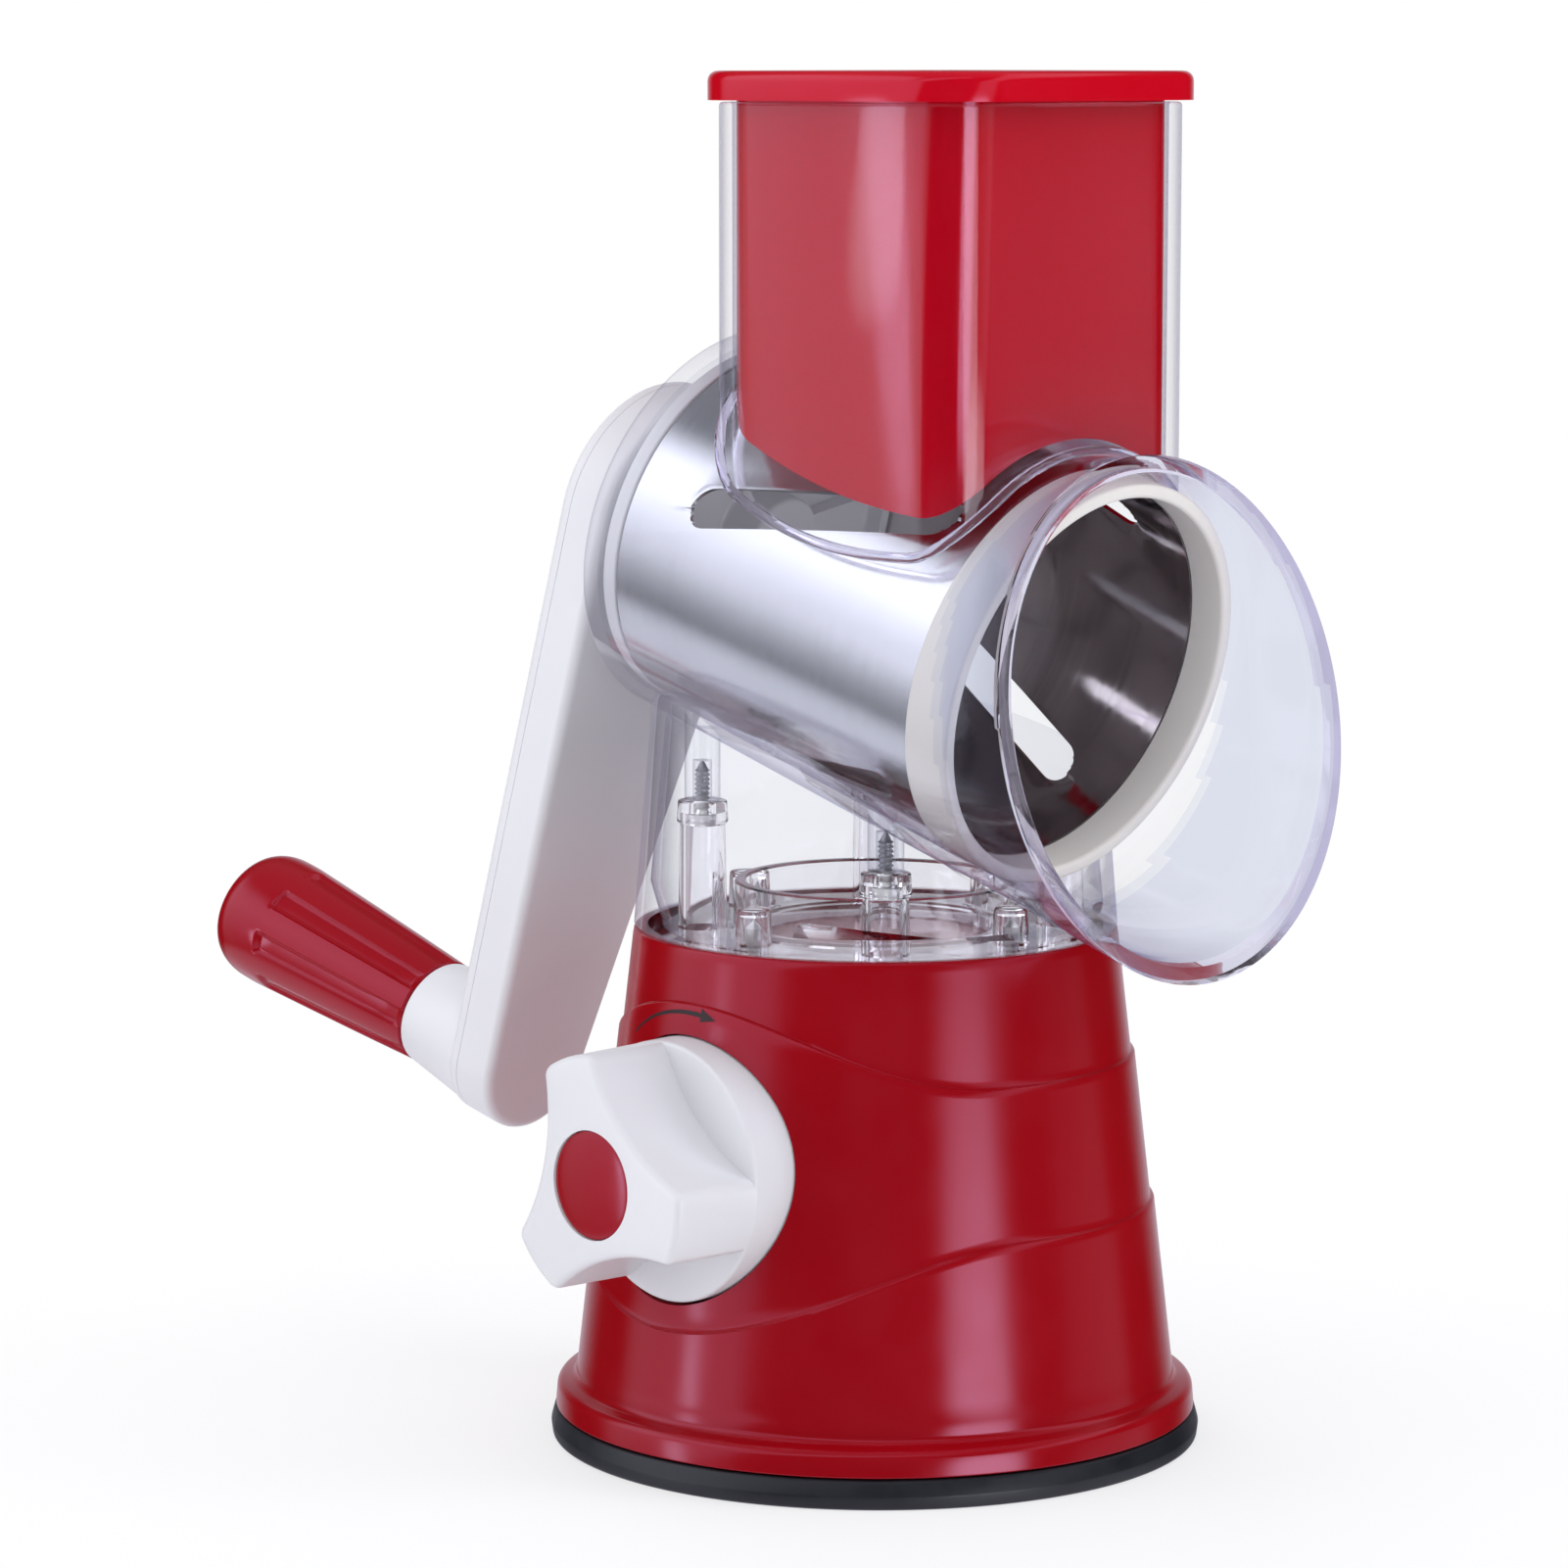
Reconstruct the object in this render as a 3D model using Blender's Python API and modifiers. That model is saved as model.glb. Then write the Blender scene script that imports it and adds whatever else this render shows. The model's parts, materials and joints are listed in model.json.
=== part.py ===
"""Hand-cranked vegetable shredder: a slotted steel drum in a clear housing on a suction base.

Metres, +Z up. The origin is the middle of the ring that rests on the table. The mouth faces -Y,
the crank is at +Y and the lock knob is on the -X side.
"""

import bmesh
import bpy
from math import acos, atan2, copysign, cos, pi, radians, sin
from mathutils import Matrix, Vector

for thing in list(bpy.data.objects):
    bpy.data.objects.remove(thing, do_unlink=True)

AXIS_MARKER = 0.02

# Fits
GAP = 0.0003  # between pieces that touch or run on each other
HOUSING_WALL = 0.0024
DRUM_CLEARANCE = 0.0005

# Suction base
FOOT_RADIUS = 0.0625
FOOT_HEIGHT = 0.0055
FOOT_RIM_WIDTH = 0.0055
FOOT_DRAFT = 0.0008
CUP_RISE = 0.0030
CUP_PAD_RADIUS = 0.0120
CUP_BOSS_RADIUS = 0.0090
CUP_BOSS_HEIGHT = 0.0075
SHELL_TOP_RADIUS = 0.0462
SHELL_TOP_HEIGHT = 0.0987
SHELL_SLOPE = 0.115
SHELL_WALL = 0.0024
SHELL_FLANGE_WIDTH = 0.0037
SHELL_FLANGE_HEIGHT = 0.0035
SHELL_SHOULDER = 0.0036
SHELL_FLANGE_EDGE = 0.0008
WAVE_STEP = 0.0007
UPPER_WAVE_LOW = 0.0748
UPPER_WAVE_SWELL = 0.0140
UPPER_WAVE_SHARPNESS = 2.5
LOWER_WAVE_HIGH = 0.0464
LOWER_WAVE_DIP = 0.0182
LOWER_WAVE_SHARPNESS = 2.3
DECK_DEPTH = 0.0027
DECK_THICKNESS = 0.0025
PLATE_THICKNESS = 0.0032
PLATE_SCREW_INSET = 0.0042
BASE_SCREW_INSET = 0.0122  # from the top rim to the ring of screws

# Screws
SCREW_RADIUS = 0.0015
SCREW_HEAD_RADIUS = 0.0028
SCREW_HEAD_HEIGHT = 0.0019
SCREW_LENGTH = 0.0100
BOSS_WALL = 0.0016

# Tower between the base and the housing
TOWER_HEIGHT = 0.0440
TOWER_OVERRUN = 0.0080  # the walls run on this far before the barrel is cut from them
TOWER_TOP_HALF_X = 0.0312
TOWER_TOP_HALF_Y = 0.0385
TOWER_CORNER_POWER = 4.5
TOWER_FLOOR = 0.0022
LOCATING_RING_RADIUS = 0.0272
LOCATING_RING_HEIGHT = 0.0090
PEG_HEIGHT = 0.0070
REAR_POST_X = 0.0246
REAR_POST_Y = 0.0222
REAR_POST_HEIGHT = 0.0245
FRONT_POST_X = 0.0250
FRONT_POST_Y = -0.0250
FRONT_POST_HEIGHT = 0.0154

# Barrel: its axis passes this far before the middle and over the shell's top, and dips to the mouth
BARREL_Y = -0.01835
BARREL_RISE = 0.0596
BARREL_TILT = radians(15.7)
BARREL_BACK = 0.0596
BARREL_BACK_RADIUS = 0.0390
BARREL_FRONT = 0.0280
BARREL_FRONT_RADIUS = 0.0415
MOUTH_REACH = 0.0565
MOUTH_FLARE = 0.0067
MOUTH_OPENING = 1.7  # power of the bell's growth
MOUTH_LIFT = 0.00105
MOUTH_TURN = radians(25.8)

# Hopper and pusher
HOPPER_HALF_X = 0.0358
HOPPER_HALF_Y = 0.0328
HOPPER_CORNER = 0.0135
HOPPER_HEIGHT = 0.0963  # over the barrel's axis
PUSHER_CLEARANCE = 0.0008
PUSHER_WALL = 0.0022
PUSHER_ARCH_RELIEF = 0.0009
PUSHER_FLANGE = 0.0021
PUSHER_FLANGE_HEIGHT = 0.0054

# Drum
DRUM_BACK = 0.0531
DRUM_BACK_CLEARANCE = 0.0011
DRUM_STEEL = 0.0008
DRUM_HUB_THICKNESS = 0.0032
DRUM_HUB_SPIGOT = 0.0054
RING_BACK = 0.0258
RING_LENGTH = 0.0105
RING_OVERLAP = 0.0025
SLOT_COUNT = 4
SLOT_WIDTH = 0.0080
SLOT_START = -0.0385
SLOT_END = 0.0170
SLOT_TWIST = radians(30)
SLOT_TURN = radians(162)

# Crank
BUSH_RADIUS = 0.0120
BUSH_FLANGE = 0.0150
BUSH_FLANGE_THICKNESS = 0.0018
JOURNAL_RADIUS = 0.0090
COUPLING_RADIUS = 0.0135
DRIVE_FLATS = 0.0114
DRIVE_LENGTH = 0.0110
ARM_STANDOFF = 0.0090
ARM_DEPTH = 0.0126
ARM_FRONT_WALL = 0.0026
ARM_SIDE_WALL = 0.0024
COVER_THICKNESS = 0.0030
ARM_HUB_X = -0.0005
ARM_HUB_DROP = 0.0030
ARM_HUB_RADIUS = 0.0240
ARM_END_X = -0.0123
ARM_END_DROP = 0.1193
ARM_END_RADIUS = 0.0134
TENON_SIDE = 0.0110
SOCKET_LENGTH = 0.0167
SOCKET_RADIUS = 0.0109
GRIP_LENGTH = 0.0585
GRIP_FAR_RADIUS = 0.0136
GRIP_FLUTES = 8
GRIP_FLUTE_DEPTH = 0.0008
GRIP_CAP_RADIUS = 0.0110
GRIP_CAP_DEPTH = 0.0060
GRIP_DOME = 0.0027
GRIP_SHOULDER = 0.86  # share of the handle's length where it is widest
GRIP_SWELL = 0.9
SPINDLE_RADIUS = 0.0032
SPINDLE_HEAD_RADIUS = 0.0060

# Lock knob and suction lift
KNOB_TURN = radians(176.35)
KNOB_HEIGHT = 0.0580
KNOB_RADIUS = 0.02475
KNOB_FRONT_PROUD = 0.0221  # of the shell's slope at the knob's height
KNOB_LEDGE_PROUD = 0.0036
KNOB_SUNK = 0.0071
KNOB_TIP_RADIUS = 0.0240
KNOB_WAIST_RADIUS = 0.0140
KNOB_TIP_ANGLE = radians(17)
KNOB_TIP_TURN = radians(-13)
KNOB_CAP_RADIUS = 0.0099
KNOB_CAP_THICKNESS = 0.0026
CAM_SHAFT_RADIUS = 0.0037
CAM_SQUARE = 0.0062
CAM_SHOULDER = 0.0010
CAM_RADIUS = 0.0070
CAM_THROW = 0.0030
CAM_THICKNESS = 0.0050
CAM_LASH = 0.0009
BRACKET_GAP = 0.0160
BRACKET_CHEEK = 0.0030
BRACKET_WIDTH = 0.0220
BRACKET_FOOT = 0.0420
YOKE_BAR = 0.0040
YOKE_STEM_RADIUS = 0.0040

# Facets round a full turn
ARCH = 96
FINE = 40
MEDIUM = 28
SMALL = 12
TINY = 8

# Heights and reaches that follow
shell_bottom = FOOT_HEIGHT + GAP
deck_top = SHELL_TOP_HEIGHT - DECK_DEPTH
deck_bottom = deck_top - DECK_THICKNESS
plate_bottom = shell_bottom
plate_top = plate_bottom + PLATE_THICKNESS
tower_seat = SHELL_TOP_HEIGHT + GAP
tower_floor_bottom = deck_top + GAP
tower_floor_top = tower_floor_bottom + TOWER_FLOOR
barrel_z = SHELL_TOP_HEIGHT + BARREL_RISE
barrel_bore_back = BARREL_BACK - HOUSING_WALL
ring_front = RING_BACK + RING_LENGTH
steel_front = RING_BACK + RING_OVERLAP
arm_front = -BARREL_BACK - ARM_STANDOFF
arm_back = arm_front - ARM_DEPTH
cover_front = arm_back + COVER_THICKNESS
socket_end = arm_back - SOCKET_LENGTH
grip_near = socket_end - GAP
grip_far = grip_near - GRIP_LENGTH
hopper_top = barrel_z + HOPPER_HEIGHT
pusher_seat = hopper_top + GAP
pusher_arch_radius = BARREL_FRONT_RADIUS + PUSHER_ARCH_RELIEF
drum_back_radius = BARREL_BACK_RADIUS - HOUSING_WALL - DRUM_BACK_CLEARANCE
base_screw_ring = SHELL_TOP_RADIUS - BASE_SCREW_INSET
shell_at_knob = SHELL_TOP_RADIUS + (SHELL_TOP_HEIGHT - KNOB_HEIGHT) * SHELL_SLOPE
knob_front = shell_at_knob + KNOB_FRONT_PROUD
knob_ledge = shell_at_knob + KNOB_LEDGE_PROUD
knob_back = shell_at_knob - KNOB_SUNK
mouth_radius = BARREL_FRONT_RADIUS + MOUTH_FLARE

parts = bpy.data.collections.new("vegetable_shredder")
cutters = bpy.data.collections.new("cutters")
for group in (parts, cutters):
    bpy.context.scene.collection.children.link(group)
cutters.hide_render = True


def plastic(name, colour, roughness, metallic=0.0, transmission=0.0):
    """One Principled material."""
    material = bpy.data.materials.new(name)
    material.use_nodes = True
    shader = material.node_tree.nodes["Principled BSDF"]
    shader.inputs["Base Color"].default_value = (*colour, 1.0)
    shader.inputs["Roughness"].default_value = roughness
    shader.inputs["Metallic"].default_value = metallic
    shader.inputs["Transmission Weight"].default_value = transmission
    material.diffuse_color = (*colour, 1.0)
    return material


red = plastic("red_plastic", (0.60, 0.010, 0.022), 0.25)
white = plastic("white_plastic", (0.80, 0.79, 0.80), 0.35)
ivory = plastic("ivory_plastic", (0.72, 0.69, 0.64), 0.40)
clear = plastic("clear_plastic", (0.90, 0.90, 0.93), 0.05, transmission=1.0)
rubber = plastic("black_rubber", (0.016, 0.017, 0.02), 0.6)
dark = plastic("dark_plastic", (0.05, 0.05, 0.05), 0.5)
steel = plastic("steel", (0.72, 0.73, 0.75), 0.12, metallic=1.0)
zinc = plastic("zinc_steel", (0.55, 0.55, 0.55), 0.35, metallic=1.0)


def place_empty(name, matrix, parent=None):
    """An axis marker: its local Z is the axis that pieces are modelled on."""
    empty = bpy.data.objects.new(name, None)
    empty.empty_display_size = AXIS_MARKER
    parts.objects.link(empty)
    empty.parent = parent
    empty.matrix_world = matrix
    return empty


barrel_frame = Matrix.Translation((0, BARREL_Y, barrel_z)) @ Matrix.Rotation(pi / 2 + BARREL_TILT, 4, "X")
grip_frame = barrel_frame @ Matrix.Translation((ARM_END_X, -ARM_END_DROP, 0))
bracket_frame = Matrix.Rotation(KNOB_TURN, 4, "Z")
knob_frame = Matrix.Translation((0, 0, KNOB_HEIGHT)) @ bracket_frame @ Matrix.Rotation(pi / 2, 4, "Y")
world = Matrix.Identity(4)
crank_axis = place_empty("crank_axis", barrel_frame)
grip_axis = place_empty("grip_axis", grip_frame, crank_axis)
knob_axis = place_empty("knob_axis", knob_frame)


def link(name, mesh, matrix, material=None, parent=None):
    """Adds a part, or a cutter where it has no material, with its origin at the given frame."""
    thing = bpy.data.objects.new(name, mesh)
    if material is None:
        cutters.objects.link(thing)
        thing.hide_render = True
        thing.display_type = "WIRE"
    else:
        parts.objects.link(thing)
        mesh.materials.append(material)
    if parent is not None:
        thing.parent = parent
        thing.matrix_parent_inverse = parent.matrix_world.inverted()
    thing.matrix_world = matrix
    return thing


def smooth(mesh, angle=35):
    mesh.shade_smooth()
    mesh.set_sharp_from_angle(angle=radians(angle))


def turned(name, profile, matrix, material=None, parent=None, steps=MEDIUM, closed=False):
    """A profile of (radius, height) points, down its outer side, turned about local Z."""
    mesh = bpy.data.meshes.new(name)
    points = [(radius, 0.0, height) for radius, height in profile]
    edges = [(i, i + 1) for i in range(len(points) - 1)]
    if closed:
        edges.append((len(points) - 1, 0))
    mesh.from_pydata(points, edges, [])
    thing = link(name, mesh, matrix, material, parent)
    screw = thing.modifiers.new("Turn", "SCREW")
    screw.steps = steps
    screw.render_steps = steps
    screw.use_merge_vertices = True
    screw.merge_threshold = 0.000005
    screw.use_smooth_shade = False
    return thing


def ring(radius_in, radius_out, low, high):
    """The closed profile of a plain collar."""
    return [(radius_out, high), (radius_out, low), (radius_in, low), (radius_in, high)]


def rod(name, radius, low, high, matrix, material=None, parent=None, steps=SMALL, top_radius=None):
    """A cylinder or a cone along local Z."""
    body = bmesh.new()
    bmesh.ops.create_cone(
        body,
        cap_ends=True,
        segments=steps,
        radius1=radius,
        radius2=radius if top_radius is None else top_radius,
        depth=high - low,
    )
    bmesh.ops.translate(body, verts=body.verts, vec=(0, 0, (low + high) / 2))
    mesh = bpy.data.meshes.new(name)
    body.to_mesh(mesh)
    body.free()
    return link(name, mesh, matrix, material, parent)


def block(name, low, high, matrix, material=None, parent=None):
    """A box between two corners."""
    body = bmesh.new()
    bmesh.ops.create_cube(body, size=1.0)
    low = Vector(low)
    high = Vector(high)
    size = high - low
    bmesh.ops.scale(body, verts=body.verts, vec=size)
    bmesh.ops.translate(body, verts=body.verts, vec=(low + high) / 2)
    mesh = bpy.data.meshes.new(name)
    body.to_mesh(mesh)
    body.free()
    return link(name, mesh, matrix, material, parent)


def prism(name, outline, low, high, matrix, material=None, parent=None):
    """A flat outline of (x, y) points, extruded along local Z."""
    body = bmesh.new()
    corners = [body.verts.new((x, y, low)) for x, y in outline]
    face = body.faces.new(corners)
    grown = bmesh.ops.extrude_face_region(body, geom=[face])["geom"]
    moved = [item for item in grown if isinstance(item, bmesh.types.BMVert)]
    bmesh.ops.translate(body, verts=moved, vec=(0, 0, high - low))
    bmesh.ops.recalc_face_normals(body, faces=body.faces)
    mesh = bpy.data.meshes.new(name)
    body.to_mesh(mesh)
    body.free()
    return link(name, mesh, matrix, material, parent)


def loft(name, sections, matrix, material=None, parent=None):
    """A closed solid through loops of points that have the same count, capped at both ends."""
    body = bmesh.new()
    loops = [[body.verts.new(point) for point in section] for section in sections]
    count = len(loops[0])
    for lower, upper in zip(loops, loops[1:]):
        for i in range(count):
            j = (i + 1) % count
            body.faces.new((lower[i], lower[j], upper[j], upper[i]))
    body.faces.new(loops[0])
    body.faces.new(loops[-1])
    bmesh.ops.recalc_face_normals(body, faces=body.faces)
    mesh = bpy.data.meshes.new(name)
    body.to_mesh(mesh)
    body.free()
    return link(name, mesh, matrix, material, parent)


def join(target, *others):
    for other in others:
        boolean(target, other, "UNION")


def cut(target, *others):
    for other in others:
        boolean(target, other, "DIFFERENCE")


def boolean(target, other, operation):
    modifier = target.modifiers.new(other.name, "BOOLEAN")
    modifier.operation = operation
    modifier.object = other
    modifier.solver = "EXACT"


def rounded_box(half_x, half_y, corner, per_corner=6):
    """A rectangle with round corners, as (x, y) points anticlockwise."""
    points = []
    for quarter in range(4):
        side_x = 1 if quarter in (0, 3) else -1
        side_y = 1 if quarter in (0, 1) else -1
        for i in range(per_corner + 1):
            angle = pi / 2 * (quarter + i / per_corner)
            x = side_x * (half_x - corner) + corner * cos(angle)
            y = side_y * (half_y - corner) + corner * sin(angle)
            points.append((x, y))
    return points


def screw(name, matrix, head_height, length=SCREW_LENGTH, parent=None, material=zinc):
    """A pan-head screw whose shank points up from the top of its head."""
    cross = SCREW_HEAD_RADIUS * 0.5
    profile = [
        (0, head_height + length),
        (SCREW_RADIUS, head_height + length - SCREW_RADIUS),
        (SCREW_RADIUS, head_height),
        (SCREW_HEAD_RADIUS, head_height),
        (SCREW_HEAD_RADIUS * 0.9, head_height - SCREW_HEAD_HEIGHT),
        (0, head_height - SCREW_HEAD_HEIGHT),
    ]
    thing = turned(name, profile, matrix, material, parent, steps=TINY)
    slot = block(
        name + "_drive",
        (-cross, -cross * 0.3, head_height - SCREW_HEAD_HEIGHT * 1.5),
        (cross, cross * 0.3, head_height - SCREW_HEAD_HEIGHT * 0.5),
        matrix,
    )
    cut(thing, slot)
    return thing


# Base shell


def shell_radius(height):
    return SHELL_TOP_RADIUS + (SHELL_TOP_HEIGHT - height) * SHELL_SLOPE


def wave(angle, level, swell, sharpness):
    """A height that swells round the knob's side and is level from 180 / sharpness degrees off it."""
    away = abs((angle - KNOB_TURN + pi) % (2 * pi) - pi)
    return level + swell * (0.5 + 0.5 * cos(min(pi, sharpness * away)))


def circle(radius, height, count=FINE):
    return [
        (radius * cos(2 * pi * i / count), radius * sin(2 * pi * i / count), height)
        for i in range(count)
    ]


def wavy_loop(height_at, extra, count=FINE):
    points = []
    for i in range(count):
        angle = 2 * pi * i / count
        height = height_at(angle)
        radius = shell_radius(height) + extra
        points.append((radius * cos(angle), radius * sin(angle), height))
    return points


def lower_wave(angle):
    return wave(angle, LOWER_WAVE_HIGH, -LOWER_WAVE_DIP, LOWER_WAVE_SHARPNESS)


def upper_wave(angle):
    return wave(angle, UPPER_WAVE_LOW, UPPER_WAVE_SWELL, UPPER_WAVE_SHARPNESS)


def base_shell():
    """The red cone: two wavy steps outside, a deck under its top rim and a pocket for the knob."""
    flange_top = shell_bottom + SHELL_FLANGE_HEIGHT
    shoulder = flange_top + SHELL_SHOULDER
    root = shell_radius(shoulder) + 2 * WAVE_STEP
    flange = shell_radius(flange_top) + 2 * WAVE_STEP + SHELL_FLANGE_WIDTH
    edge = SHELL_FLANGE_EDGE
    sections = [
        circle(flange, shell_bottom),
        circle(flange, flange_top - edge),
        circle(flange - edge, flange_top + edge),
        circle(root + 1.5 * edge, flange_top + 2 * edge),
        circle(root, shoulder),
        wavy_loop(lambda angle: lower_wave(angle) - WAVE_STEP, 2 * WAVE_STEP),
        wavy_loop(lower_wave, WAVE_STEP),
        wavy_loop(lambda angle: (lower_wave(angle) + upper_wave(angle)) / 2, WAVE_STEP),
        wavy_loop(lambda angle: upper_wave(angle) - WAVE_STEP, WAVE_STEP),
        wavy_loop(upper_wave, 0),
        circle(shell_radius(SHELL_TOP_HEIGHT - WAVE_STEP), SHELL_TOP_HEIGHT - WAVE_STEP),
        circle(SHELL_TOP_RADIUS - WAVE_STEP / 2, SHELL_TOP_HEIGHT),
    ]
    shell = loft("base_shell", sections, world, red)

    cavity = turned(
        "shell_cavity",
        [
            (0, deck_bottom),
            (shell_radius(deck_bottom) - SHELL_WALL, deck_bottom),
            (shell_radius(0) - SHELL_WALL, 0),
            (0, 0),
        ],
        world,
        steps=FINE,
    )
    cup = rod(
        "knob_cup",
        KNOB_RADIUS + GAP + SHELL_WALL,
        knob_back - GAP - SHELL_WALL,
        knob_front,
        knob_frame,
        steps=FINE,
    )
    cut(cavity, cup)
    for i, (x, y) in enumerate(plate_screw_places()):
        boss = rod(
            f"plate_boss_{i + 1}",
            SCREW_RADIUS + GAP + BOSS_WALL,
            plate_top + GAP,
            plate_top + GAP + SCREW_LENGTH,
            Matrix.Translation((x, y, 0)),
        )
        cut(cavity, boss)
    cut(shell, cavity)

    pocket = rod("knob_pocket", KNOB_RADIUS + GAP, knob_back - GAP, knob_front, knob_frame, steps=FINE)
    shaft_hole = rod(
        "knob_shaft_hole", CAM_SHAFT_RADIUS + GAP, knob_back - SHELL_WALL * 3, knob_front, knob_frame
    )
    rim = rod(
        "deck_recess",
        SHELL_TOP_RADIUS - SHELL_WALL,
        deck_top,
        SHELL_TOP_HEIGHT + DECK_DEPTH,
        world,
        steps=FINE,
    )
    cut(shell, pocket, shaft_hole, rim)
    for i, (x, y) in enumerate(plate_screw_places()):
        bore = rod(
            f"plate_boss_bore_{i + 1}",
            SCREW_RADIUS + GAP,
            0,
            plate_top + SCREW_LENGTH - BOSS_WALL,
            Matrix.Translation((x, y, 0)),
            steps=TINY,
        )
        cut(shell, bore)
    for i, (x, y) in enumerate(base_screw_places()):
        hole = rod(
            f"deck_hole_{i + 1}",
            SCREW_RADIUS + GAP,
            deck_bottom - DECK_THICKNESS,
            deck_top + DECK_THICKNESS,
            Matrix.Translation((x, y, 0)),
            steps=TINY,
        )
        cut(shell, hole)
    return shell


def plate_screw_places():
    return four_places(shell_radius(plate_top) - SHELL_WALL - PLATE_SCREW_INSET, KNOB_TURN + pi / 4)


def base_screw_places():
    return four_places(base_screw_ring, 0.0)


def four_places(radius, first):
    """Four points evenly round the middle, from the first angle on."""
    return [(radius * cos(first + pi / 2 * i), radius * sin(first + pi / 2 * i)) for i in range(4)]


def suction_cup():
    """The rubber foot: a rim and a middle pad that rest, a shallow channel and a socket for the lift stem."""
    socket = YOKE_STEM_RADIUS + GAP
    boss_top = FOOT_HEIGHT + CUP_BOSS_HEIGHT
    turned(
        "suction_cup",
        [
            (0, CUP_RISE + HOUSING_WALL),
            (socket, CUP_RISE + HOUSING_WALL),
            (socket, boss_top),
            (CUP_BOSS_RADIUS, boss_top),
            (CUP_BOSS_RADIUS, FOOT_HEIGHT),
            (FOOT_RADIUS - FOOT_DRAFT, FOOT_HEIGHT),
            (FOOT_RADIUS, FOOT_DRAFT),
            (FOOT_RADIUS - FOOT_DRAFT / 2, 0),
            (FOOT_RADIUS - FOOT_RIM_WIDTH, 0),
            (FOOT_RADIUS - 2 * FOOT_RIM_WIDTH, CUP_RISE),
            (CUP_PAD_RADIUS + FOOT_RIM_WIDTH, CUP_RISE),
            (CUP_PAD_RADIUS, 0),
            (0, 0),
        ],
        world,
        rubber,
        steps=FINE,
    )


def bottom_plate():
    """The plate that closes the shell and carries the lift bracket."""
    radius = shell_radius(plate_top) - SHELL_WALL - GAP
    plate = turned(
        "bottom_plate",
        ring(CUP_BOSS_RADIUS + 2 * GAP, radius, plate_bottom, plate_top),
        world,
        dark,
        steps=FINE,
        closed=True,
    )
    for i, (x, y) in enumerate(plate_screw_places()):
        matrix = Matrix.Translation((x, y, 0))
        sink = rod(
            f"plate_counterbore_{i + 1}",
            SCREW_HEAD_RADIUS + GAP,
            0,
            plate_bottom + SCREW_HEAD_HEIGHT + GAP,
            matrix,
        )
        hole = rod(f"plate_hole_{i + 1}", SCREW_RADIUS + GAP, 0, plate_top + GAP * 2, matrix, steps=TINY)
        cut(plate, sink, hole)
        screw(
            f"plate_screw_{i + 1}",
            matrix,
            plate_bottom + SCREW_HEAD_HEIGHT,
            length=SCREW_LENGTH - BOSS_WALL,
        )
    for i, (matrix, _) in enumerate(bracket_screw_places()):
        thread = rod(f"bracket_thread_{i + 1}", SCREW_RADIUS + GAP, 0, plate_top + GAP, matrix, steps=TINY)
        cut(plate, thread)


def bracket_screw_places():
    """Each screw points down, so its frame is turned over."""
    reach = BRACKET_FOOT / 2 - SCREW_HEAD_RADIUS - GAP
    flip = Matrix.Rotation(pi, 4, "X")
    top = plate_top + GAP + BRACKET_CHEEK
    places = []
    for side in (-1, 1):
        upright = bracket_frame @ Matrix.Translation((side * reach, 0, 0))
        places.append((upright, upright @ Matrix.Translation((0, 0, top)) @ flip))
    return places


def cam_bracket():
    """A U of two cheeks on the bottom plate, which holds the cam shaft level."""
    low = plate_top + GAP
    half = BRACKET_WIDTH / 2
    bracket = block(
        "cam_bracket",
        (-BRACKET_FOOT / 2, -half, low),
        (BRACKET_FOOT / 2, half, low + BRACKET_CHEEK),
        bracket_frame,
        white,
    )
    top = KNOB_HEIGHT + CAM_SHAFT_RADIUS + 2 * BRACKET_CHEEK
    for side, name in ((-1, "inner"), (1, "outer")):
        near = side * BRACKET_GAP / 2
        far = side * (BRACKET_GAP / 2 + BRACKET_CHEEK)
        cheek = block(
            f"bracket_cheek_{name}",
            (min(near, far), -half, low + BRACKET_CHEEK / 2),
            (max(near, far), half, top),
            bracket_frame,
        )
        join(bracket, cheek)
    bore = rod(
        "bracket_bore",
        CAM_SHAFT_RADIUS + GAP,
        -BRACKET_GAP,
        BRACKET_GAP,
        knob_frame,
    )
    stem_hole = rod("bracket_stem_hole", CUP_BOSS_RADIUS + 2 * GAP, 0, low + 2 * BRACKET_CHEEK, world)
    cut(bracket, bore, stem_hole)
    for i, (upright, turned_over) in enumerate(bracket_screw_places()):
        cut(
            bracket,
            rod(f"bracket_hole_{i + 1}", SCREW_RADIUS + GAP, 0, low + 2 * BRACKET_CHEEK, upright, steps=TINY),
        )
        screw(f"bracket_screw_{i + 1}", turned_over, -GAP, length=BRACKET_CHEEK + PLATE_THICKNESS)


def cam_shaft():
    """The shaft from the knob, with an eccentric between the cheeks and a square end in the knob."""
    tail = -BRACKET_GAP / 2 - BRACKET_CHEEK - CAM_SHAFT_RADIUS / 2
    shoulder = knob_back + CAM_SHOULDER
    shaft = rod("cam_shaft", CAM_SHAFT_RADIUS, tail, shoulder, knob_frame, steel, knob_axis)
    throw = knob_frame @ Matrix.Translation((0, -CAM_THROW, 0))
    cam = rod("cam_lobe", CAM_RADIUS, -CAM_THICKNESS / 2, CAM_THICKNESS / 2, throw, steps=SMALL)
    half = CAM_SQUARE / 2
    square_low = shoulder - CAM_SHOULDER / 2
    square = block("cam_square", (-half, -half, square_low), (half, half, square_end()), knob_frame)
    join(shaft, cam, square)
    thread = rod(
        "cam_thread",
        SCREW_RADIUS + GAP,
        square_end() - SCREW_LENGTH,
        square_end() + GAP,
        knob_frame,
        steps=TINY,
    )
    cut(shaft, thread)


def square_end():
    return knob_front - KNOB_CAP_THICKNESS - SCREW_HEAD_HEIGHT - 3 * SHELL_WALL


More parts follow.
